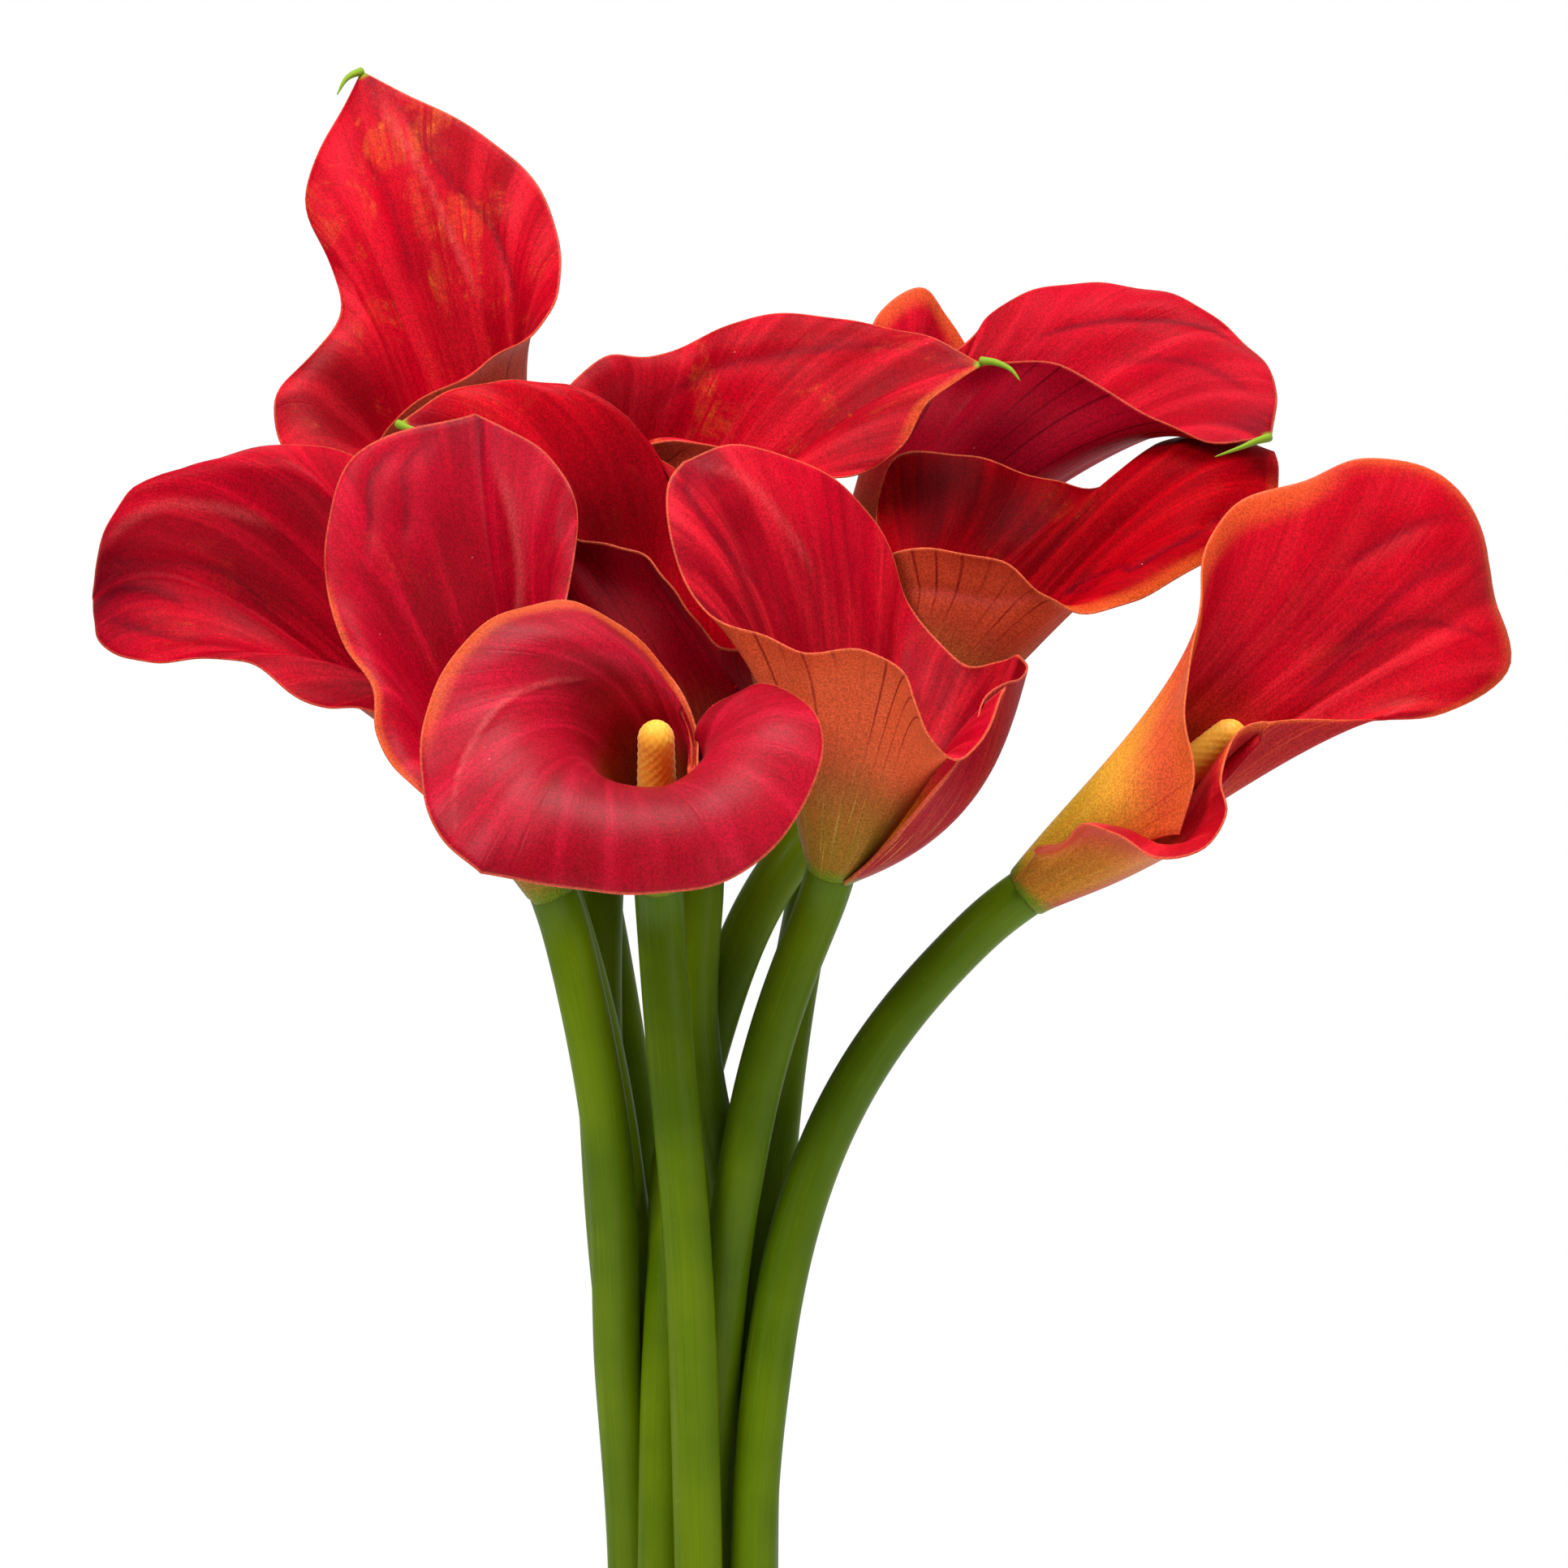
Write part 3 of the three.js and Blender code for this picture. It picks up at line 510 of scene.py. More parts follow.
class Paint:
    """A material with its Principled shader and short calls for the nodes it uses."""

    def __init__(self, name):
        self.material = bpy.data.materials.new(name)
        self.material.use_nodes = True
        self.tree = self.material.node_tree
        self.shader = self.tree.nodes["Principled BSDF"]

    def node(self, kind, inputs=(), **settings):
        node = self.tree.nodes.new(kind)
        for key, value in settings.items():
            setattr(node, key, value)
        for key, value in dict(inputs).items():
            self.set(node.inputs[key], value)
        return node

    def set(self, socket, value):
        if isinstance(value, bpy.types.NodeSocket):
            self.tree.links.new(value, socket)
        else:
            socket.default_value = value

    def attribute(self, name):
        return self.node("ShaderNodeAttribute", attribute_name=name).outputs["Fac"]

    def math(self, operation, a, b=0.0, clamp=False):
        inputs = {0: a, 1: b}
        made = self.node("ShaderNodeMath", inputs, operation=operation, use_clamp=clamp)
        return made.outputs[0]

    def times(self, a, b):
        return self.math("MULTIPLY", a, b)

    def step(self, x, low, high, bottom=0.0, top=1.0):
        """A soft step of x, from bottom at low to top at high."""
        inputs = {"Value": x, "From Min": low, "From Max": high, "To Min": bottom, "To Max": top}
        made = self.node("ShaderNodeMapRange", inputs, interpolation_type="SMOOTHSTEP")
        return made.outputs["Result"]

    def mix(self, share, a, b):
        made = self.node("ShaderNodeMix", data_type="RGBA")
        self.set(made.inputs[0], share)
        self.set(made.inputs[6], a)
        self.set(made.inputs[7], b)
        return made.outputs[2]

    def tint(self, colour, mask, strength, shade):
        """The colour with the shade laid over it where the mask is, as far as strength."""
        return self.mix(self.times(mask, strength), colour, shade)

    def combine(self, x, y, z):
        return self.node("ShaderNodeCombineXYZ", {0: x, 1: y, 2: z}).outputs[0]

    def place(self):
        return self.node("ShaderNodeTexCoord").outputs["Object"]

    def noise(self, vector, scale, detail=2.0, roughness=0.5, distortion=0.0):
        inputs = {
            "Vector": vector, "Scale": scale, "Detail": detail,
            "Roughness": roughness, "Distortion": distortion,
        }
        return self.node("ShaderNodeTexNoise", inputs).outputs["Fac"]

    def cells(self, vector, scale):
        inputs = {"Vector": vector, "Scale": scale}
        return self.node("ShaderNodeTexVoronoi", inputs).outputs["Distance"]

    def bump(self, height, strength, distance):
        inputs = {"Height": height, "Strength": strength, "Distance": distance * MM}
        self.set(self.shader.inputs["Normal"], self.node("ShaderNodeBump", inputs).outputs[0])

    def finish(self, colour, roughness, **constants):
        self.set(self.shader.inputs["Base Color"], colour)
        self.set(self.shader.inputs["Roughness"], roughness)
        for key, value in constants.items():
            self.shader.inputs[key.replace("_", " ")].default_value = value
        return self.material


# ---- materials ----
GREEN_TIP = srgb(128, 158, 44)
# painted highlight: the pale line along the rim
RIM_LIGHT = srgb(226, 112, 74)
ORANGE = srgb(222, 100, 40)
MAROON = srgb(74, 4, 20)
# painted shade: the colour of the soft dark places laid where petals lie in shadow
PAINTED_SHADE = srgb(58, 0, 4)
PETAL_GLOSS = 0.05
SHEEN_PER_GLOSS = 0.3

# Each look: inside shades (deep, middle, lit), how much orange flecks it, how far the
# dusky tip reaches in mm and how strong it is, how strong the painted highlight along the
# rim is, then the outside from rim to foot, the shade of its veins, and the shade of its flank.
# gloss replaces PETAL_GLOSS, pale is how strong the pale veins are, and glow and ember
# are how high the warm throat reaches and its shade.
LOOKS = {
    "front": dict(
        gloss=0.12, inside=((128, 0, 18), (166, 0, 30), (190, 12, 46)), flecks=0.05, dusk=(10, 0.3),
        rim=0.5, veins=(150, 20, 26), flank=(170, 30, 36),
        outside=((205, 70, 50), (200, 96, 40), (150, 120, 40)),
    ),
    "plum": dict(
        gloss=0.07, pale=0.2, inside=((136, 0, 20), (176, 0, 32), (194, 8, 42)), flecks=0.08,
        dusk=(22, 0.75), rim=0.35, veins=(120, 10, 24), flank=(150, 10, 30),
        outside=((190, 40, 40), (180, 60, 40), (140, 110, 40)),
    ),
    "ripple": dict(
        inside=((126, 0, 16), (176, 0, 28), (204, 10, 38)), flecks=0.12, dusk=(26, 0.7), rim=0.3,
        veins=(110, 6, 24), flank=(150, 10, 30), outside=((170, 16, 34), (150, 20, 34), (130, 90, 40)),
    ),
    "blood": dict(
        gloss=0.05, pale=0.5, inside=((126, 0, 16), (184, 0, 30), (224, 30, 48)), flecks=0.08,
        dusk=(13, 0.6), rim=0.45, veins=(128, 14, 20), flank=(150, 14, 34),
        outside=((204, 84, 48), (168, 78, 40), (140, 104, 32)),
    ),
    "ember": dict(
        inside=((140, 0, 14), (190, 0, 28), (216, 26, 44)), flecks=0.7, dusk=(14, 0.5), rim=0.35,
        veins=(130, 20, 22), flank=(150, 14, 34),
        outside=((196, 68, 44), (182, 66, 40), (150, 116, 40)),
    ),
    "copper": dict(
        gloss=0.01, pale=0.3, inside=((104, 0, 6), (148, 0, 12), (180, 4, 16)), flecks=0.12,
        dusk=(12, 0.1), rim=0.5, veins=(116, 10, 14), flank=(150, 20, 26),
        outside=((184, 66, 40), (150, 52, 34), (150, 100, 40)),
    ),
    "wine": dict(
        gloss=0.05, pale=0.08, inside=((150, 0, 14), (190, 0, 24), (206, 8, 30)), flecks=0.12,
        dusk=(16, 0.5), rim=0.5, veins=(84, 0, 14), flank=(150, 14, 34),
        outside=((126, 0, 16), (112, 0, 12), (120, 60, 30)),
    ),
    "cherry": dict(
        gloss=0.04, pale=0.05, inside=((146, 0, 18), (178, 0, 28), (204, 22, 42)), flecks=0.12,
        dusk=(18, 0.6), rim=0.35, veins=(84, 0, 14), flank=(192, 52, 36),
        outside=((146, 4, 28), (132, 2, 22), (120, 60, 30)),
    ),
    "gold": dict(
        glow=0.62, ember=(206, 104, 22), inside=((150, 0, 16), (190, 2, 28), (218, 30, 44)),
        flecks=0.15, dusk=(12, 0.3), rim=0.45, veins=(190, 60, 40), flank=(158, 18, 34),
        outside=((208, 84, 48), (220, 146, 50), (196, 156, 40)),
    ),
}


def spathe_material(name, look, seed, green_tip):
    """Velvety petal: red inside, its look's outside, veins along the ribs, a painted highlight along the
    rim, and painted shade and highlight from pools and creases.
    """
    shades = LOOKS[look]
    p = Paint(name)
    names = ("rib", "rise", "inside", "edge", "tail", "tip", "line")
    rib, rise, inside, edge, tail, tip, line = (p.attribute(key) for key in names)
    place = p.place()
    along = p.combine(p.times(rib, 30.0), p.times(rise, 1.2), seed)
    fine = p.combine(p.times(rib, 150.0), p.times(rise, 2.4), seed + 3.0)
    streak = p.noise(along, 1.0, 3.0, 0.5, 0.3)
    thread = p.noise(fine, 1.0, 2.0, 0.6, 0.15)
    cloud = p.noise(place, 22.0, 3.0, 0.55)
    patch = p.noise(place, 75.0, 4.0, 0.65, 0.6)
    grain = p.noise(place, 2300.0, 2.0, 0.7)

    # inside face
    deep, middle, lit = (srgb(*c) for c in shades["inside"])
    red = p.mix(p.step(cloud, 0.32, 0.66), deep, middle)
    red = p.tint(red, p.step(streak, 0.42, 0.7), 0.75, lit)
    red = p.tint(red, p.step(thread, 0.46, 0.76), 0.45, deep)
    fire = p.times(p.step(patch, 0.52, 0.72), p.step(thread, 0.35, 0.62))
    fire = p.times(fire, p.step(rise, 0.35, 0.65))
    spots = p.times(p.step(p.noise(place, 420.0, 2.0), 0.6, 0.68), 0.7)
    fire = p.math("MULTIPLY", fire, p.math("ADD", spots, 0.5), clamp=True)
    red = p.mix(p.times(fire, shades["flecks"]), red, ORANGE)
    ember = srgb(*shades.get("ember", (170, 92, 18)))
    red = p.mix(p.step(rise, shades.get("glow", 0.45), 0.12), red, ember)
    reach, strength = shades["dusk"]
    dusk = p.times(p.step(tip, reach, reach * 0.15), strength)
    dusk = p.times(dusk, p.step(p.noise(fine, 0.4, 3.0), 0.2, 0.62))
    red = p.mix(dusk, red, MAROON)

    # outside face
    rim_shade, middle_shade, foot_shade = (srgb(*c) for c in shades["outside"])
    skin = p.mix(p.step(rise, 0.75, 0.38), rim_shade, middle_shade)
    skin = p.mix(p.step(rise, 0.6, 0.16), skin, foot_shade)
    skin = p.tint(skin, p.step(cloud, 0.42, 0.7), 0.4, rim_shade)
    flank = p.times(p.attribute("flank"), p.step(streak, 0.2, 0.5, 0.8, 1.0))
    skin = p.mix(flank, skin, srgb(*shades["flank"]))
    skin = p.mix(p.step(rise, 0.08, 0.0), skin, srgb(98, 124, 28))
    wander = p.times(p.noise(along, 0.35, 2.0), 3.0)
    stripe = p.math("SINE", p.math("ADD", p.times(rib, 290.0), wander))
    vein = p.step(stripe, 0.86, 0.98)
    vein = p.times(vein, p.step(p.noise(along, 0.8, 2.0), 0.38, 0.6))
    dark_vein = p.times(vein, p.step(rise, 0.4, 0.75))
    skin = p.tint(skin, dark_vein, 0.75, srgb(*shades["veins"]))
    pale_vein = p.times(p.step(thread, 0.55, 0.75), p.step(rise, 0.62, 0.3))
    skin = p.mix(p.times(pale_vein, shades.get("pale", 0.4)), skin, srgb(222, 164, 84))
    skin = p.tint(skin, p.step(thread, 0.5, 0.28), 0.3, rim_shade)

    colour = p.mix(p.step(inside, 0.3, 0.7), skin, red)
    # painted shade where the petal lies in shadow
    colour = p.mix(p.attribute("painted_shade"), colour, PAINTED_SHADE)
    colour = p.tint(colour, p.attribute("blush"), 0.5, ORANGE)
    # painted shade in crease folds and painted highlight on crease ridges
    colour = p.tint(colour, p.step(line, 0.0, 1.0), 0.62, MAROON)
    colour = p.tint(colour, p.step(line, 0.0, -1.0), 0.35, srgb(206, 84, 84))
    # painted highlight: a pale line along the rim where light shines through the thin edge
    rim = p.times(p.step(edge, 0.55, 0.05), shades["rim"])
    colour = p.mix(rim, colour, RIM_LIGHT)
    brighter = p.step(grain, 0.35, 0.65, 0.74, 1.26)
    colour = p.node("ShaderNodeHueSaturation", {"Value": brighter, "Color": colour}).outputs[0]
    speck = p.step(p.cells(place, 260.0), 0.06, 0.03)
    speck = p.times(speck, p.step(p.noise(place, 60.0), 0.6, 0.66))
    colour = p.tint(colour, speck, 0.5, srgb(240, 150, 130))
    if green_tip:
        tail = p.math("MAXIMUM", tail, p.step(tip, 2.6, 0.8))
    colour = p.mix(tail, colour, GREEN_TIP)

    height = p.math("ADD", p.times(grain, 0.5), p.times(thread, 0.8))
    height = p.math("SUBTRACT", height, p.times(vein, 0.4))
    p.bump(height, 0.4, 0.22)
    rough = p.step(cloud, 0.3, 0.7, 0.38, 0.48)
    gloss = shades.get("gloss", PETAL_GLOSS)
    return p.finish(
        colour, rough, Sheen_Weight=SHEEN_PER_GLOSS * gloss,
        Sheen_Roughness=0.4, Sheen_Tint=(1.0, 0.5, 0.5, 1.0),
        Subsurface_Weight=0.06, Subsurface_Radius=(1.0, 0.2, 0.12), Subsurface_Scale=0.002,
        Specular_IOR_Level=gloss,
    )


def spadix_material():
    p = Paint("spadix_pollen")
    place = p.place()
    bead = p.cells(place, 1300.0)
    cloud = p.noise(place, 120.0, 3.0)
    colour = p.mix(p.step(bead, 0.15, 0.6), srgb(255, 204, 60), srgb(250, 172, 30))
    colour = p.mix(p.step(cloud, 0.4, 0.7), colour, srgb(255, 182, 40))
    p.bump(bead, -0.6, 0.3)
    return p.finish(colour, p.step(cloud, 0.3, 0.7, 0.55, 0.75), Sheen_Weight=0.2)


def stem_material():
    p = Paint("stem_green")
    around = p.attribute("around")
    length = p.attribute("length")
    place = p.place()
    lanes = p.combine(p.times(around, 30.0), p.times(length, 0.012), 0.0)
    hair = p.combine(p.times(around, 150.0), p.times(length, 0.03), 4.0)
    lane = p.noise(lanes, 1.0, 2.0, 0.5)
    strand = p.noise(hair, 1.0, 3.0, 0.6)
    cloud = p.noise(place, 26.0, 3.0)
    colour = p.mix(p.step(cloud, 0.3, 0.7), srgb(70, 96, 2), srgb(98, 122, 4))
    colour = p.tint(colour, p.step(lane, 0.45, 0.75), 0.5, srgb(72, 104, 4))
    colour = p.tint(colour, p.step(strand, 0.5, 0.75), 0.3, srgb(136, 156, 24))
    dots = p.combine(p.times(around, 40.0), p.times(length, 0.16), 0.0)
    fleck = p.step(p.cells(dots, 1.0), 0.1, 0.04)
    colour = p.tint(colour, fleck, 0.35, srgb(160, 176, 60))
    crown = p.step(p.attribute("crown"), 18.0, 2.0)
    colour = p.tint(colour, crown, 0.3, srgb(60, 94, 10))
    pale_foot = p.step(p.attribute("height"), 165.0, 120.0)
    colour = p.tint(colour, pale_foot, 0.6, srgb(170, 174, 84))
    p.bump(p.math("ADD", p.times(lane, 1.2), strand), 0.22, 0.12)
    rough = p.step(strand, 0.3, 0.7, 0.3, 0.42)
    return p.finish(
        colour, rough, Subsurface_Weight=0.08, Subsurface_Radius=(0.5, 1.0, 0.2),
        Subsurface_Scale=0.002, Coat_Weight=0.03, Coat_Roughness=0.2, Specular_IOR_Level=0.09,
    )


def clay_material():
    p = Paint("fired_clay")
    place = p.place()
    height = p.node("ShaderNodeSeparateXYZ", {0: place}).outputs[2]
    cloud = p.noise(place, 14.0, 5.0, 0.6)
    grit = p.noise(place, 900.0, 3.0, 0.7)
    bands = p.noise(p.combine(0.0, 0.0, p.times(height, 420.0)), 1.0, 2.0)
    colour = p.mix(p.step(cloud, 0.35, 0.7), srgb(168, 84, 52), srgb(196, 112, 76))
    colour = p.tint(colour, p.step(grit, 0.5, 0.75), 0.4, srgb(140, 66, 42))
    dry = p.step(p.noise(place, 34.0, 5.0, 0.7), 0.52, 0.72)
    bloom = p.times(dry, p.step(height, 0.075, 0.02))
    colour = p.tint(colour, bloom, 0.7, srgb(222, 200, 184))
    damp_line = p.math("ADD", height, p.times(cloud, 0.02))
    damp = p.times(p.step(damp_line, 0.034, 0.01), 0.45)
    colour = p.mix(damp, colour, srgb(112, 54, 36))
    p.bump(p.math("ADD", p.times(grit, 0.5), bands), 0.5, 0.35)
    return p.finish(colour, p.step(cloud, 0.3, 0.7, 0.78, 0.92), Specular_IOR_Level=0.25)


def soil_material(name, dark, light):
    p = Paint(name)
    place = p.place()
    cloud = p.noise(place, 160.0, 4.0, 0.65)
    crumb = p.noise(place, 1400.0, 3.0, 0.7)
    colour = p.mix(p.step(cloud, 0.35, 0.7), srgb(*dark), srgb(*light))
    colour = p.tint(colour, p.step(crumb, 0.55, 0.8), 0.5, srgb(*light))
    p.bump(crumb, 0.8, 0.5)
    return p.finish(colour, p.step(crumb, 0.3, 0.7, 0.8, 0.98), Specular_IOR_Level=0.2)


# ---- spathes ----
def closed_petal(outer, inner, axis):
    """Joins an outer and an inner face along a rounded rim and a collar at the foot."""
    rows, columns = outer.shape[:2]
    points = [outer.reshape(-1, 3), inner.reshape(-1, 3)]
    faces = grid_faces(rows, columns) + grid_faces(rows, columns, rows * columns)
    path = [(0, j) for j in range(columns)]
    path += [(i, columns - 1) for i in range(1, rows)]
    path += [(rows - 1, j) for j in range(columns - 2, -1, -1)]
    du = np.gradient(outer, axis=0)
    dv = np.gradient(outer, axis=1)
    middle = []
    for i, j in path:
        away = np.zeros(3)
        if i == 0:
            away -= unit(du[i, j])
        if i == rows - 1:
            away += unit(du[i, j])
        if j == columns - 1:
            away += unit(dv[i, j])
        thick = np.linalg.norm(outer[i, j] - inner[i, j])
        middle.append((outer[i, j] + inner[i, j]) / 2 + unit(away) * thick * 0.45)
    points.append(np.array(middle))
    start = 2 * rows * columns
    flat = [i * columns + j for i, j in path]
    for k in range(len(path) - 1):
        a, b = flat[k], flat[k + 1]
        faces.append([a, b, start + k + 1, start + k])
        faces.append([start + k, start + k + 1, rows * columns + b, rows * columns + a])
    collar = start + len(path)
    radial = outer[:, 0] - np.outer(outer[:, 0] @ axis, axis)
    points.append(outer[:, 0] - 0.7 * axis - unit(radial) * 0.45)
    for i in range(rows - 1):
        a, b = i * columns, (i + 1) * columns
        faces.append([a, b, collar + i + 1, collar + i])
        faces.append([collar + i, collar + i + 1, rows * columns + b, rows * columns + a])
    faces.append([0, start, rows * columns, collar])
    last = (rows - 1) * columns
    faces.append([last, start + len(path) - 1, rows * columns + last, collar + rows - 1])
    return np.vstack(points), faces, path


def creases(grid, rows):
    """How far creases push each point outward, and how much painted shade they lay
    in their folds and painted highlight on their ridges.

    A row is the depth, the width and the line as rib and rise values. A positive depth is a
    fold with painted shade, a negative one a ridge with a painted highlight.
    """
    push = np.zeros(grid.shape[:2])
    tint = np.zeros(grid.shape[:2])
    for depth, width, line in rows:
        way = spline(np.linspace(0, 1, len(line)), line, np.linspace(0, 1, CREASE_STEPS))
        i = np.clip(way[:, 0] * AROUND, 0, AROUND - 0.001)
        j = np.clip(way[:, 1] * ALONG, 0, ALONG - 0.001)
        a, b = i.astype(int), j.astype(int)
        s, t = (i - a)[:, None], (j - b)[:, None]
        low = grid[a, b] * (1 - s) + grid[a + 1, b] * s
        high = grid[a, b + 1] * (1 - s) + grid[a + 1, b + 1] * s
        trail = low * (1 - t) + high * t
        apart = np.linalg.norm(grid[:, :, None, :] - trail, axis=3)
        nearest = apart.argmin(2) / (CREASE_STEPS - 1)
        apart = apart.min(2)
        fade = ease(0, 0.25, nearest) * (1 - ease(0.75, 1, nearest) * 0.7)
        push += depth * np.exp(-((apart / width) ** 2)) * fade
        # painted shade along the folds and painted highlight along the ridges, by the sign of depth
        dark = np.exp(-((apart / (0.6 * width)) ** 2)) * fade
        tint += np.sign(depth) * min(1, 1.5 / width) * dark
    return push, tint


def build_spathe(n, flower):
    rng = np.random.default_rng(100 + n)
    u = np.linspace(0, 1, AROUND + 1)
    v = np.linspace(0, 1, ALONG + 1)
    outer, turn = spathe_surface(flower, u, v)
    inward = -turn * grid_normals(outer)
    wave = sum(
        rng.uniform(0.4, 1) * np.sin(2 * math.pi * (k * u + rng.uniform())) for k in (7, 11, 17)
    )
    body = (v**7)[None, :] * RIM_RIPPLE * wave[:, None]
    groove = np.exp(-((u - 0.5) / 0.012) ** 2)[:, None] * (ease(0.3, 0.7, v) * 0.5)[None, :]
    for _ in range(RANDOM_FOLDS):
        centre, width, depth = rng.uniform((0.15, 0.015, -0.7), (0.85, 0.035, 0.7))
        crease = np.exp(-((u - centre) / width) ** 2)
        body += crease[:, None] * (ease(0.35, 0.9, v) * depth)[None, :]
    push, tint = creases(outer, flower.get("creases", ()))
    outer = outer - inward * (body + groove + push)[:, :, None]
    inward = -turn * grid_normals(outer)
    thick = PETAL_THICKNESS + (RIM_THICKNESS - PETAL_THICKNESS) * ease(0.55, 1, v)
    inner = outer + inward * thick[None, :, None]
    axis = unit(np.array(flower["throat"], float))
    points, faces, path = closed_petal(outer, inner, axis)

    ribs = np.linalg.norm(np.diff(outer, axis=1), axis=2)
    to_rim = ribs.sum(1)[:, None] - np.concatenate([np.zeros((len(u), 1)), ribs.cumsum(1)], 1)
    arcs = np.linalg.norm(np.diff(outer, axis=0), axis=2)
    round_way = np.concatenate([np.zeros((1, len(v))), arcs.cumsum(0)], 0)
    to_margin = np.minimum(round_way, arcs.sum(0)[None, :] - round_way)
    edge = np.minimum(to_rim, to_margin)
    tip_point = outer[AROUND // 2, -1]
    tip = np.linalg.norm(outer - tip_point, axis=2)
    rib = np.broadcast_to(u[:, None], edge.shape)
    rise = np.broadcast_to(v[None, :], edge.shape)

    turned_side = flower.get("flank", ((0, 0), (1, 0)))
    flank = np.interp(u, *zip(*turned_side))[:, None] + 0 * edge
    blush = np.zeros_like(edge)
    for start, end, width in flower.get("blush", ()):
        window = ease(start - 0.03, start + 0.02, u) * (1 - ease(end - 0.02, end + 0.03, u))
        blush = np.maximum(blush, window[:, None] * (1 - ease(0.2 * width, width, edge)))

    # painted shade: soft dark places where the petal lies in shadow
    painted_shade = np.zeros_like(edge)
    for rib_at, rise_at, size, strength in flower.get("painted_shades", ()):
        centre = outer[round(rib_at * AROUND), round(rise_at * ALONG)]
        apart = np.linalg.norm(outer - centre, axis=2)
        painted_shade = np.maximum(painted_shade, strength * np.exp(-((apart / size) ** 2)))

    def per_point(field):
        on_path = np.array([field[i, j] for i, j in path])
        return [field.ravel(), field.ravel(), on_path, field[:, 0]]

    # line holds the creases' painted shade and painted highlight
    shown = dict(
        rib=rib, rise=rise, edge=edge, tip=tip, line=tint, flank=flank, blush=blush, painted_shade=painted_shade
    )
    columns = {key: per_point(field) for key, field in shown.items()}
    columns["edge"][2] = np.zeros(len(path))
    ones = np.ones(edge.size)
    columns["inside"] = [0 * ones, ones, np.full(len(path), 0.5), np.zeros(len(u))]
    columns["tail"] = [0 * ones, 0 * ones, np.zeros(len(path)), np.zeros(len(u))]
    if "tail" in flower:
        way = np.array(flower["tail"], float)
        at = np.linspace(0, 1, len(way))
        fine = np.linspace(0, 1, TAIL_RINGS)
        centres = spline(at, way, fine)
        taper = (0.85 * (1 - fine) ** 0.7 + 0.08)[:, None]
        tail_points, tail_faces = tube_mesh(centres, taper, TAIL_SIDES)
        shift = len(points)
        points = np.vstack([points, tail_points])
        faces = faces + [[a + shift for a in f] for f in tail_faces]
        count = len(tail_points)
        on_tail = {"tail": 1.0, "edge": 9.0, "tip": 9.0}
        for key in columns:
            columns[key].append(np.full(count, on_tail.get(key, 0.0)))
    fields = {key: np.concatenate(parts) for key, parts in columns.items()}
    name = f"spathe_{n + 1:02d}"
    obj = make_object(name + "_petal", points + flower["base"], faces, fields)
    skin = spathe_material(name + "_skin", flower["look"], float(n), "tail" in flower)
    finish_piece(obj, "spathe", skin, name)


# ---- spadices ----
def build_spadix(n, flower, material):
    """A finger of small round florets set in crossing spirals."""
    axis = unit(np.array(flower["throat"], float))
    start = axis * 2 * CLEARANCE
    end = np.array(flower["spadix"], float)
    length = np.linalg.norm(end - start)
    s = 1 - (1 - np.linspace(0, 1, SPADIX_RINGS)) ** 1.25
    centres = start + np.outer(s, end - start)
    profile = np.interp(s, [0, 0.12, 0.3, 0.6, 0.84], [0.6, 0.66, 1, 1, 0.93])
    in_cap = np.clip((s * length - (length - SPADIX_CAP)) / SPADIX_CAP, 0, 1)
    cap = np.sqrt(np.clip(1 - in_cap**2, 0.0, 1))
    angle = np.linspace(0, 2 * math.pi, SPADIX_SIDES, endpoint=False)
    climb = (s * length)[:, None] * FLORET_CLIMB
    round_way = FLORETS_AROUND * angle[None, :]
    florets = np.cos(round_way + climb) + np.cos(round_way - climb)
    sleeve = ease(0.15, 0.3, s)[:, None]
    radius = SPADIX_RADIUS * profile[:, None] * (1 + 0.016 * florets * sleeve)
    radius = radius * np.maximum(cap, 0.06)[:, None]
    points, faces = tube_mesh(centres, radius, SPADIX_SIDES)
    name = f"spadix_{n + 1:02d}"
    obj = make_object(name + "_florets", points + flower["base"], faces)
    finish_piece(obj, "spadix", material, name)


# ---- stems ----
STEM_SAMPLES = 61


def rough_stem(flower):
    """Way points from the soil to the flower, as evenly spaced samples."""
    way = np.array(flower["stem"], float) + [0, 0, NECK_HEIGHT]
    foot = [way[0, 0] * FOOT_SPREAD, way[0, 1] * FOOT_SPREAD, SOIL_HEIGHT + CLEARANCE]
    axis = unit(np.array(flower["throat"], float))
    line = np.vstack([foot, way, flower["base"] - 9 * axis, flower["base"] - CLEARANCE * axis])
    steps = np.linalg.norm(np.diff(line, axis=0), axis=1)
    run = np.concatenate([[0], np.cumsum(steps)])
    return spline(run, line, np.linspace(0, run[-1], STEM_SAMPLES))


def settle(lines):
    """Nudges the stems apart towards a gap between them over a fixed number of rounds, smoothing them
    meanwhile.
    """
    rounds = 160
    wanted = 2 * STEM_RADIUS + STEM_GAP
    lines = np.array(lines)
    for step in range(rounds):
        push = np.zeros_like(lines)
        for a in range(len(lines)):
            for b in range(len(lines)):
                if a == b:
                    continue
                gaps = lines[a][:, None, :] - lines[b][None, :, :]
                apart = np.linalg.norm(gaps, axis=2)
                near = apart.argmin(1)
                index = np.arange(STEM_SAMPLES)
                short = np.maximum(0, wanted - apart[index, near]) / 2
                push[a] += unit(gaps[index, near]) * short[:, None] * [0.4, 1, 0.05]
        push[:, -3:] = 0
        push[:, 0, 2] = 0
        lines = lines + 0.7 * push
        if step < rounds * 0.7:
            smooth = lines.copy()
            smooth[:, 1:-3] = 0.7 * lines[:, 1:-3] + 0.15 * (lines[:, :-4] + lines[:, 2:-2])
            lines = smooth
    return lines


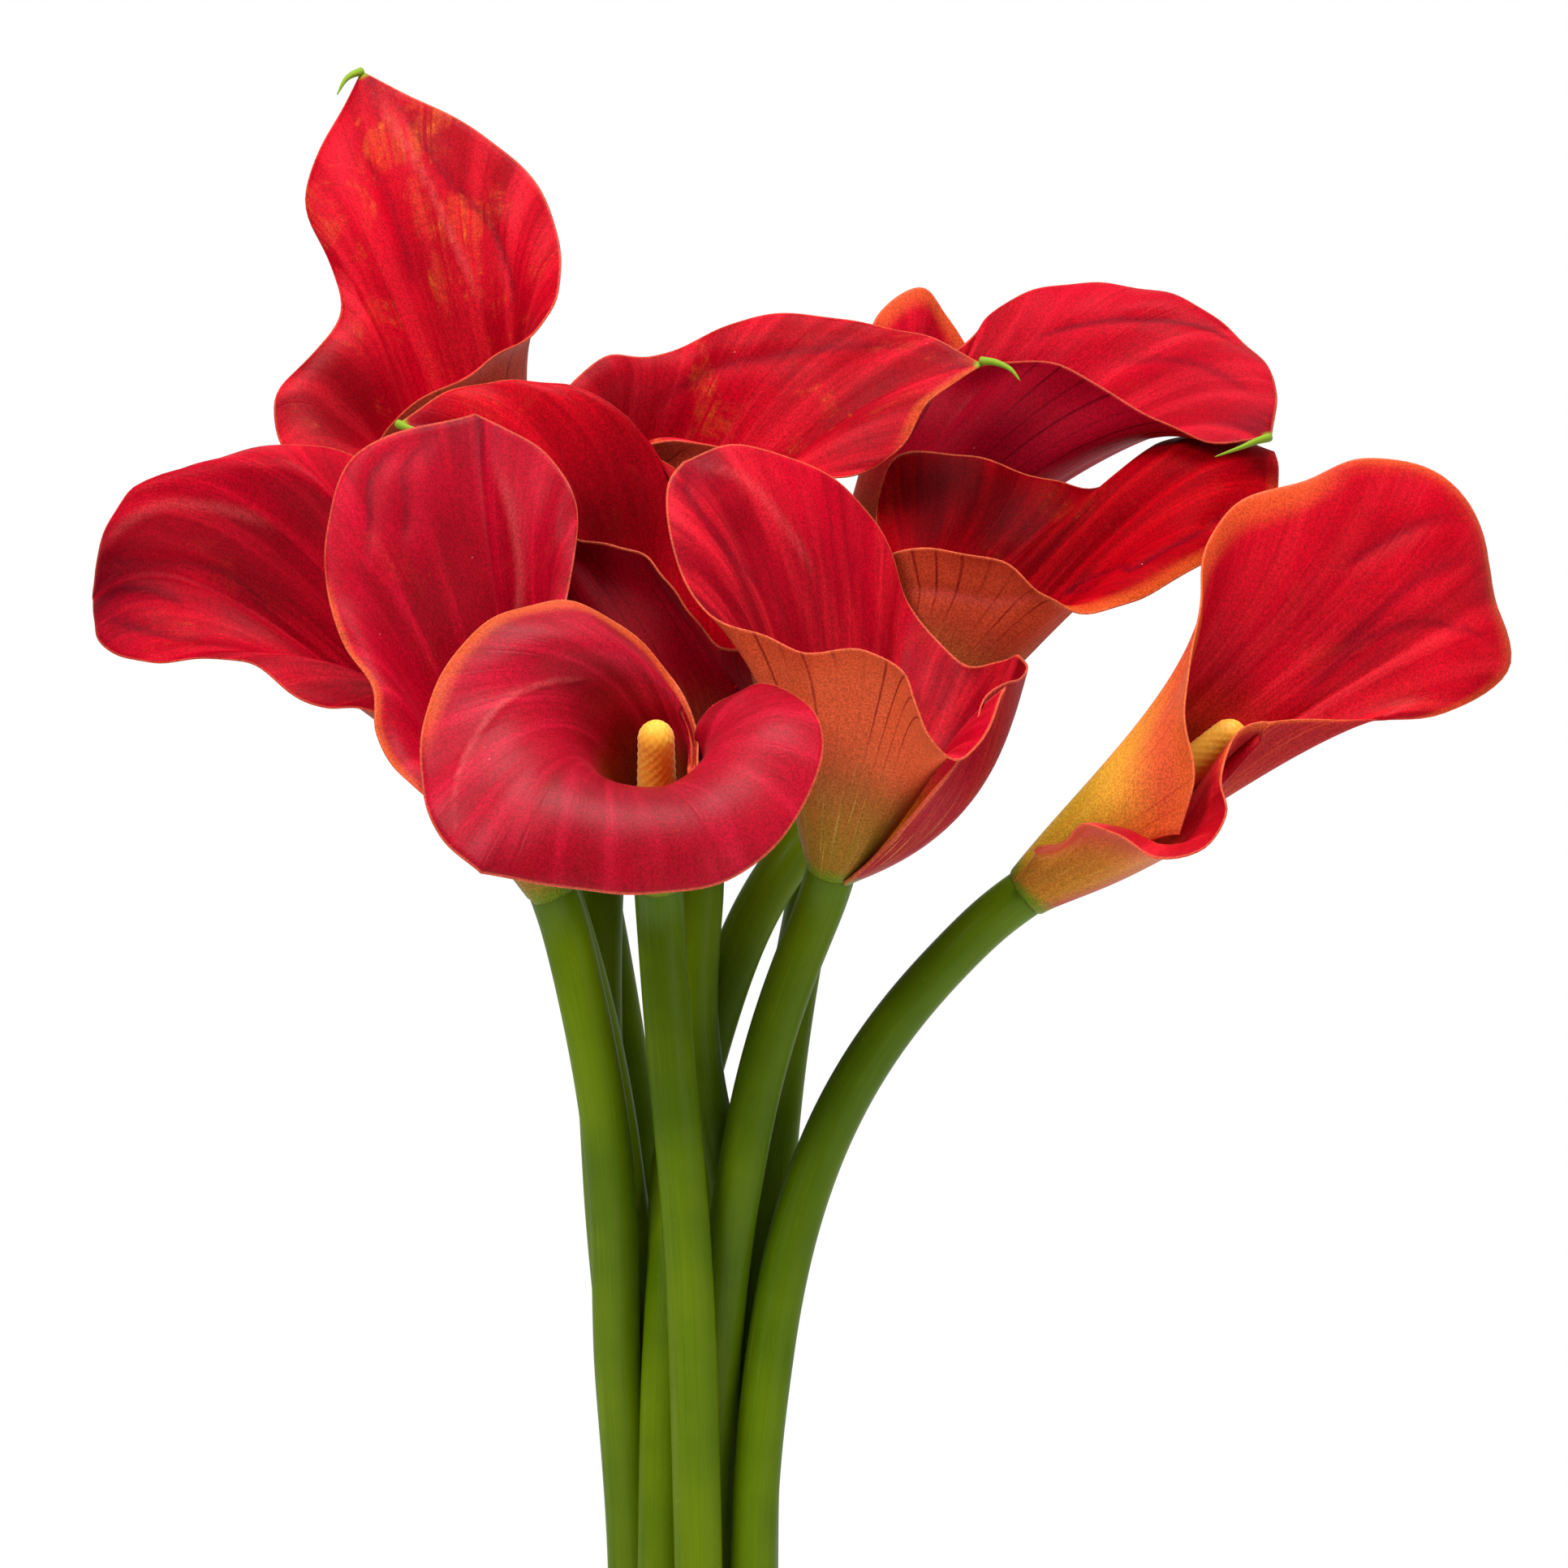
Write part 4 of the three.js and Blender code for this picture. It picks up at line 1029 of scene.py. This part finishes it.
def build_stem(n, flower, line, material):
    rng = np.random.default_rng(300 + n)
    axis = unit(np.array(flower["throat"], float))
    below = line[0] + np.array([[0, 0, -7.0], [0, 0, -3.5]])
    inside = flower["base"] + np.outer([1.2, 2.6], axis)
    whole = np.vstack([below, line, inside])
    steps = np.linalg.norm(np.diff(whole, axis=0), axis=1)
    run = np.concatenate([[0], np.cumsum(steps)])
    at = np.linspace(0, run[-1], STEM_RINGS)
    centres = spline(run, whole, at)
    for _ in range(STEM_SMOOTHING):
        centres[1:-1] = 0.5 * centres[1:-1] + 0.25 * (centres[:-2] + centres[2:])
    angle = np.linspace(0, 2 * math.pi, STEM_SIDES, endpoint=False)
    flutes = sum(
        rng.uniform(0.3, 1) * np.cos(k * angle + rng.uniform(0, 6.3)) for k in (2, 3, 5)
    )
    swell = 1 + 0.012 * np.sin(at / 23 + rng.uniform(0, 6))
    swell = swell + 0.03 * ease(run[-1] - 26, run[-1], at)
    radius = STEM_RADIUS * swell[:, None] * (1 + 0.012 * flutes[None, :])
    radius[-2:] *= [[0.9], [0.6]]
    points, faces = tube_mesh(centres, radius, STEM_SIDES)
    around = np.tile((1 + np.cos(angle)) / 2 + 0.37 * np.sin(angle), len(centres))
    fields = {
        "around": around + n,
        "length": np.repeat(at + 40 * n, STEM_SIDES),
        "height": points[:, 2],
        "crown": np.repeat(run[-1] - at, STEM_SIDES),
    }
    name = f"stem_{n + 1:02d}"
    obj = make_object(name + "_stalk", points, faces, fields)
    finish_piece(obj, "stem", material, name)


# ---- pot and soil ----
BAND_FOOT = POT_HEIGHT - RIM_BAND_HEIGHT
BODY_TOP = POT_RIM_RADIUS - RIM_BAND_STEP


def wall_radius(z):
    return POT_FOOT_RADIUS + (BODY_TOP - POT_FOOT_RADIUS) * z / BAND_FOOT


def inside_radius(z):
    return wall_radius(z) - POT_WALL


def rounded(corners, radius, steps=5):
    """A profile with each inner corner turned into a short curve."""
    corners = np.array(corners, float)
    line = [corners[0]]
    for before, corner, after in zip(corners[:-2], corners[1:-1], corners[2:]):
        shorter = min(np.linalg.norm(corner - before), np.linalg.norm(after - corner))
        reach = min(radius, shorter / 2.1)
        a = corner + unit(before - corner) * reach
        b = corner + unit(after - corner) * reach
        for t in np.linspace(0, 1, steps):
            line.append((1 - t) ** 2 * a + 2 * t * (1 - t) * corner + t * t * b)
    line.append(corners[-1])
    return np.array(line)


def turned(profile, segments, wobble=0.0):
    """A closed turned body; the profile starts and ends on the axis."""
    angle = np.linspace(0, 2 * math.pi, segments, endpoint=False)
    body = profile[1:-1]
    lean = 1 + wobble * np.sin(2 * angle + body[:, 1:2] / 40)
    ring = np.stack(
        [
            body[:, :1] * lean * np.cos(angle),
            body[:, :1] * lean * np.sin(angle),
            np.repeat(body[:, 1:2], segments, axis=1),
        ],
        axis=2,
    )
    points = np.vstack([ring.reshape(-1, 3), [0, 0, profile[0, 1]], [0, 0, profile[-1, 1]]])
    first, last = len(points) - 2, len(points) - 1
    top = (len(body) - 1) * segments
    faces = ring_faces(len(body), segments)
    for s in range(segments):
        t = (s + 1) % segments
        faces.append([first, t, s])
        faces.append([last, top + s, top + t])
    return points, faces


def dense(profile, step):
    """The profile with points added so that none are further apart than step."""
    line = [profile[0]]
    for a, b in zip(profile[:-1], profile[1:]):
        count = max(1, int(np.ceil(np.linalg.norm(b - a) / step)))
        line += [a + (b - a) * k / count for k in range(1, count + 1)]
    return np.array(line)


def build_pot():
    profile = rounded([
        [0, 0],
        [POT_FOOT_RADIUS, 0],
        [wall_radius(BAND_FOOT), BAND_FOOT],
        [POT_RIM_RADIUS, BAND_FOOT],
        [POT_RIM_RADIUS, POT_HEIGHT],
        [inside_radius(POT_HEIGHT), POT_HEIGHT],
        [inside_radius(POT_FLOOR), POT_FLOOR],
        [0, POT_FLOOR],
    ], 2.2)
    points, faces = turned(dense(profile, 4.0), POT_SEGMENTS, 0.0012)
    finish_piece(make_object("pot_clay", points, faces), "pot", clay_material(), "pot")


def lumps(x, y, rng_seed, count, size, height):
    """A bumpy height field: many soft mounds of about one size."""
    rng = np.random.default_rng(rng_seed)
    field = np.zeros_like(x)
    reach = inside_radius(SOIL_HEIGHT)
    for cx, cy, tall in zip(*rng.uniform(-1, 1, (3, count))):
        far = (x - cx * reach) ** 2 + (y - cy * reach) ** 2
        field += tall * height * np.exp(-far / (2 * size**2))
    return field


def soil_top(x, y, feet):
    mound = sum(1.6 * np.exp(-((x - fx) ** 2 + (y - fy) ** 2) / 90) for fx, fy in feet)
    fall = np.minimum(mound, 2.2)
    return (
        SOIL_HEIGHT - 2.6 + fall
        + lumps(x, y, 11, 90, 6.0, 0.8)
        + lumps(x, y, 12, 900, 1.6, 0.55)
    )


def crumb_mesh(rng, centres, sizes):
    """Many small angular grains as one mesh."""
    seed = bmesh.new()
    bmesh.ops.create_icosphere(seed, subdivisions=2, radius=1)
    ball = np.array([v.co for v in seed.verts])
    corners = [[v.index for v in f.verts] for f in seed.faces]
    seed.free()
    points = []
    faces = []
    for k, (centre, size) in enumerate(zip(centres, sizes)):
        squash = rng.uniform(0.55, 1.1, 3)
        facets = rng.normal(size=(7, 3))
        shape = ball * squash
        for facet in unit(facets):
            over = np.maximum(0, shape @ facet - rng.uniform(0.5, 0.8))
            shape = shape - over[:, None] * facet
        points.append(shape * size + centre)
        faces += [[a + k * len(ball) for a in f] for f in corners]
    return np.vstack(points), faces


def build_soil(feet):
    reach = inside_radius(SOIL_HEIGHT) - CLEARANCE
    angle = np.linspace(0, 2 * math.pi, SOIL_SEGMENTS, endpoint=False)
    radius = np.linspace(reach, 0.6, SOIL_RINGS)[:, None]
    x, y = radius * np.cos(angle), radius * np.sin(angle)
    top = np.stack([x, y, soil_top(x, y, feet)], axis=2).reshape(-1, 3)
    floor = POT_FLOOR + CLEARANCE
    low = (inside_radius(floor) - CLEARANCE) * np.stack([np.cos(angle), np.sin(angle)], 1)
    bottom = np.column_stack([low, np.full(SOIL_SEGMENTS, floor)])
    points = np.vstack([bottom, top, [0, 0, floor], [0, 0, top[-1, 2]]])
    faces = ring_faces(SOIL_RINGS + 1, SOIL_SEGMENTS)
    last_ring = SOIL_RINGS * SOIL_SEGMENTS
    for s in range(SOIL_SEGMENTS):
        t = (s + 1) % SOIL_SEGMENTS
        faces.append([len(points) - 2, t, s])
        faces.append([len(points) - 1, last_ring + s, last_ring + t])
    body = make_object("soil_bed", points, faces)
    finish_piece(body, "soil", soil_material("potting_mix", (34, 24, 18), (74, 54, 40)), "soil")

    rng = np.random.default_rng(5)

    def scatter(count, small, large):
        spots = []
        while len(spots) < count:
            r = (reach - 3) * math.sqrt(rng.uniform())
            a = rng.uniform(0, 2 * math.pi)
            spot = np.array([r * math.cos(a), r * math.sin(a)])
            if np.linalg.norm(np.array(feet) - spot, axis=1).min() > STEM_RADIUS + 2.4:
                spots.append(spot)
        spots = np.array(spots)
        sizes = rng.uniform(small, large, count)
        z = soil_top(spots[:, 0], spots[:, 1], feet) + sizes * 0.15
        return np.column_stack([spots, z]), sizes

    grains = make_object("soil_crumbs", *crumb_mesh(rng, *scatter(CRUMBS, 0.8, 2.3)), smooth=False)
    finish_piece(grains, "soil", soil_material("bark_crumbs", (52, 34, 22), (104, 74, 50)))
    white = make_object("soil_perlite", *crumb_mesh(rng, *scatter(PERLITE, 0.7, 1.6)), smooth=False)
    finish_piece(white, "soil", soil_material("perlite", (196, 190, 178), (232, 228, 218)))


# ---- floor, light and camera ----
FLOOR_RADIUS = 1400
FRONT_GLOW = 0.08
BACK_GLOW = 0.48
TOP_GLOW = 0.35
SOFTBOXES = [
    ("key", (-0.75, -1.1, 1.3), (0.6, 0.6), 17.0),
    ("fill", (1.2, -1.0, 0.55), (0.8, 0.8), 4.5),
    ("top", (0.15, -0.35, 1.6), (0.7, 0.7), 19.0),
]


def softbox(name, place, size, power):
    light = bpy.data.lights.new(name, "AREA")
    light.shape = "RECTANGLE"
    light.size, light.size_y = size
    light.energy = power
    obj = bpy.data.objects.new(name, light)
    bpy.context.scene.collection.objects.link(obj)
    obj.location = place
    aim = Vector((0.01, 0, 0.38)) - obj.location
    obj.rotation_euler = aim.to_track_quat("-Z", "Y").to_euler()


def build_floor():
    """A pale round floor that fades to white at its edge."""
    sides, ring_count = 96, 20
    angle = np.linspace(0, 2 * math.pi, sides, endpoint=False)
    rings = np.linspace(40, FLOOR_RADIUS, ring_count)[:, None]
    round_way = np.stack([rings * np.cos(angle), rings * np.sin(angle), 0 * rings * angle], 2)
    points = np.vstack([round_way.reshape(-1, 3), [[0, 0, 0]]])
    faces = []
    for s in range(sides):
        t = (s + 1) % sides
        faces.append([len(points) - 1, s, t])
        for row in range(0, (ring_count - 1) * sides, sides):
            faces.append([row + s, row + sides + s, row + sides + t, row + t])
    floor = make_object("floor", points, faces)
    p = Paint("pale_floor")
    place = p.place()
    far = p.node("ShaderNodeVectorMath", {0: place}, operation="LENGTH").outputs["Value"]
    cloud = p.noise(place, 3.0, 4.0)
    colour = p.mix(cloud, srgb(238, 237, 235), srgb(230, 229, 227))
    fade = p.step(far, 0.3, FLOOR_RADIUS * MM * 0.85)
    p.set(p.shader.inputs["Emission Strength"], p.math("ADD", p.times(fade, 0.8), 0.2))
    p.set(p.shader.inputs["Emission Color"], (1.0, 1.0, 1.0, 1.0))
    colour = p.mix(fade, colour, srgb(60, 60, 60))
    floor.data.materials.append(p.finish(colour, p.step(cloud, 0.3, 0.7, 0.75, 0.85)))


def build_stage():
    """White all round; as light, the room is brightest behind the flowers and above."""
    build_floor()
    world = bpy.data.worlds.new("studio")
    bpy.context.scene.world = world
    world.use_nodes = True
    nodes, links = world.node_tree.nodes, world.node_tree.links
    split = nodes.new("ShaderNodeSeparateXYZ")
    links.new(nodes.new("ShaderNodeTexCoord").outputs["Generated"], split.inputs[0])

    def ranged(source, low, high, bottom, top):
        made = nodes.new("ShaderNodeMapRange")
        links.new(source, made.inputs["Value"])
        for key, value in zip(("From Min", "From Max", "To Min", "To Max"), (low, high, bottom, top)):
            made.inputs[key].default_value = value
        return made.outputs["Result"]

    glow = nodes.new("ShaderNodeMath")
    links.new(ranged(split.outputs[1], -0.2, 0.8, FRONT_GLOW, BACK_GLOW), glow.inputs[0])
    links.new(ranged(split.outputs[2], 0.0, 1.0, 0.0, TOP_GLOW), glow.inputs[1])
    seen = nodes.new("ShaderNodeMix")
    links.new(nodes.new("ShaderNodeLightPath").outputs["Is Camera Ray"], seen.inputs[0])
    links.new(glow.outputs[0], seen.inputs[2])
    seen.inputs[3].default_value = 1.0
    shade = nodes["Background"]
    shade.inputs["Color"].default_value = (1, 1, 1, 1)
    links.new(seen.outputs[0], shade.inputs["Strength"])
    for row in SOFTBOXES:
        softbox(*row)


CAMERA_DISTANCE = 1.3
VIEW_WIDTH = 0.322          # what the frame spans at the stems' distance
CAMERA_PLACE = (0.0193, -CAMERA_DISTANCE, 0.351)
SENSOR = 36.0


def build_camera():
    data = bpy.data.cameras.new("camera")
    data.sensor_width = SENSOR
    data.lens = SENSOR * CAMERA_DISTANCE / VIEW_WIDTH
    data.clip_start = 0.05
    camera = bpy.data.objects.new("camera", data)
    bpy.context.scene.collection.objects.link(camera)
    camera.location = CAMERA_PLACE
    camera.rotation_euler = (math.pi / 2, 0, 0)
    bpy.context.scene.camera = camera
    bpy.context.scene.view_settings.view_transform = "Standard"


# ---- build ----
for flower in FLOWERS:
    flower["base"] = np.array(flower["base"], float) + [0, 0, NECK_HEIGHT]

pollen = spadix_material()
for n, flower in enumerate(FLOWERS):
    build_spathe(n, flower)
    build_spadix(n, flower, pollen)

green = stem_material()
stem_lines = settle([rough_stem(flower) for flower in FLOWERS])
for n, flower in enumerate(FLOWERS):
    build_stem(n, flower, stem_lines[n], green)

build_pot()
build_soil([(line[0][0], line[0][1]) for line in stem_lines])
build_stage()
build_camera()

bpy.context.view_layer.update()
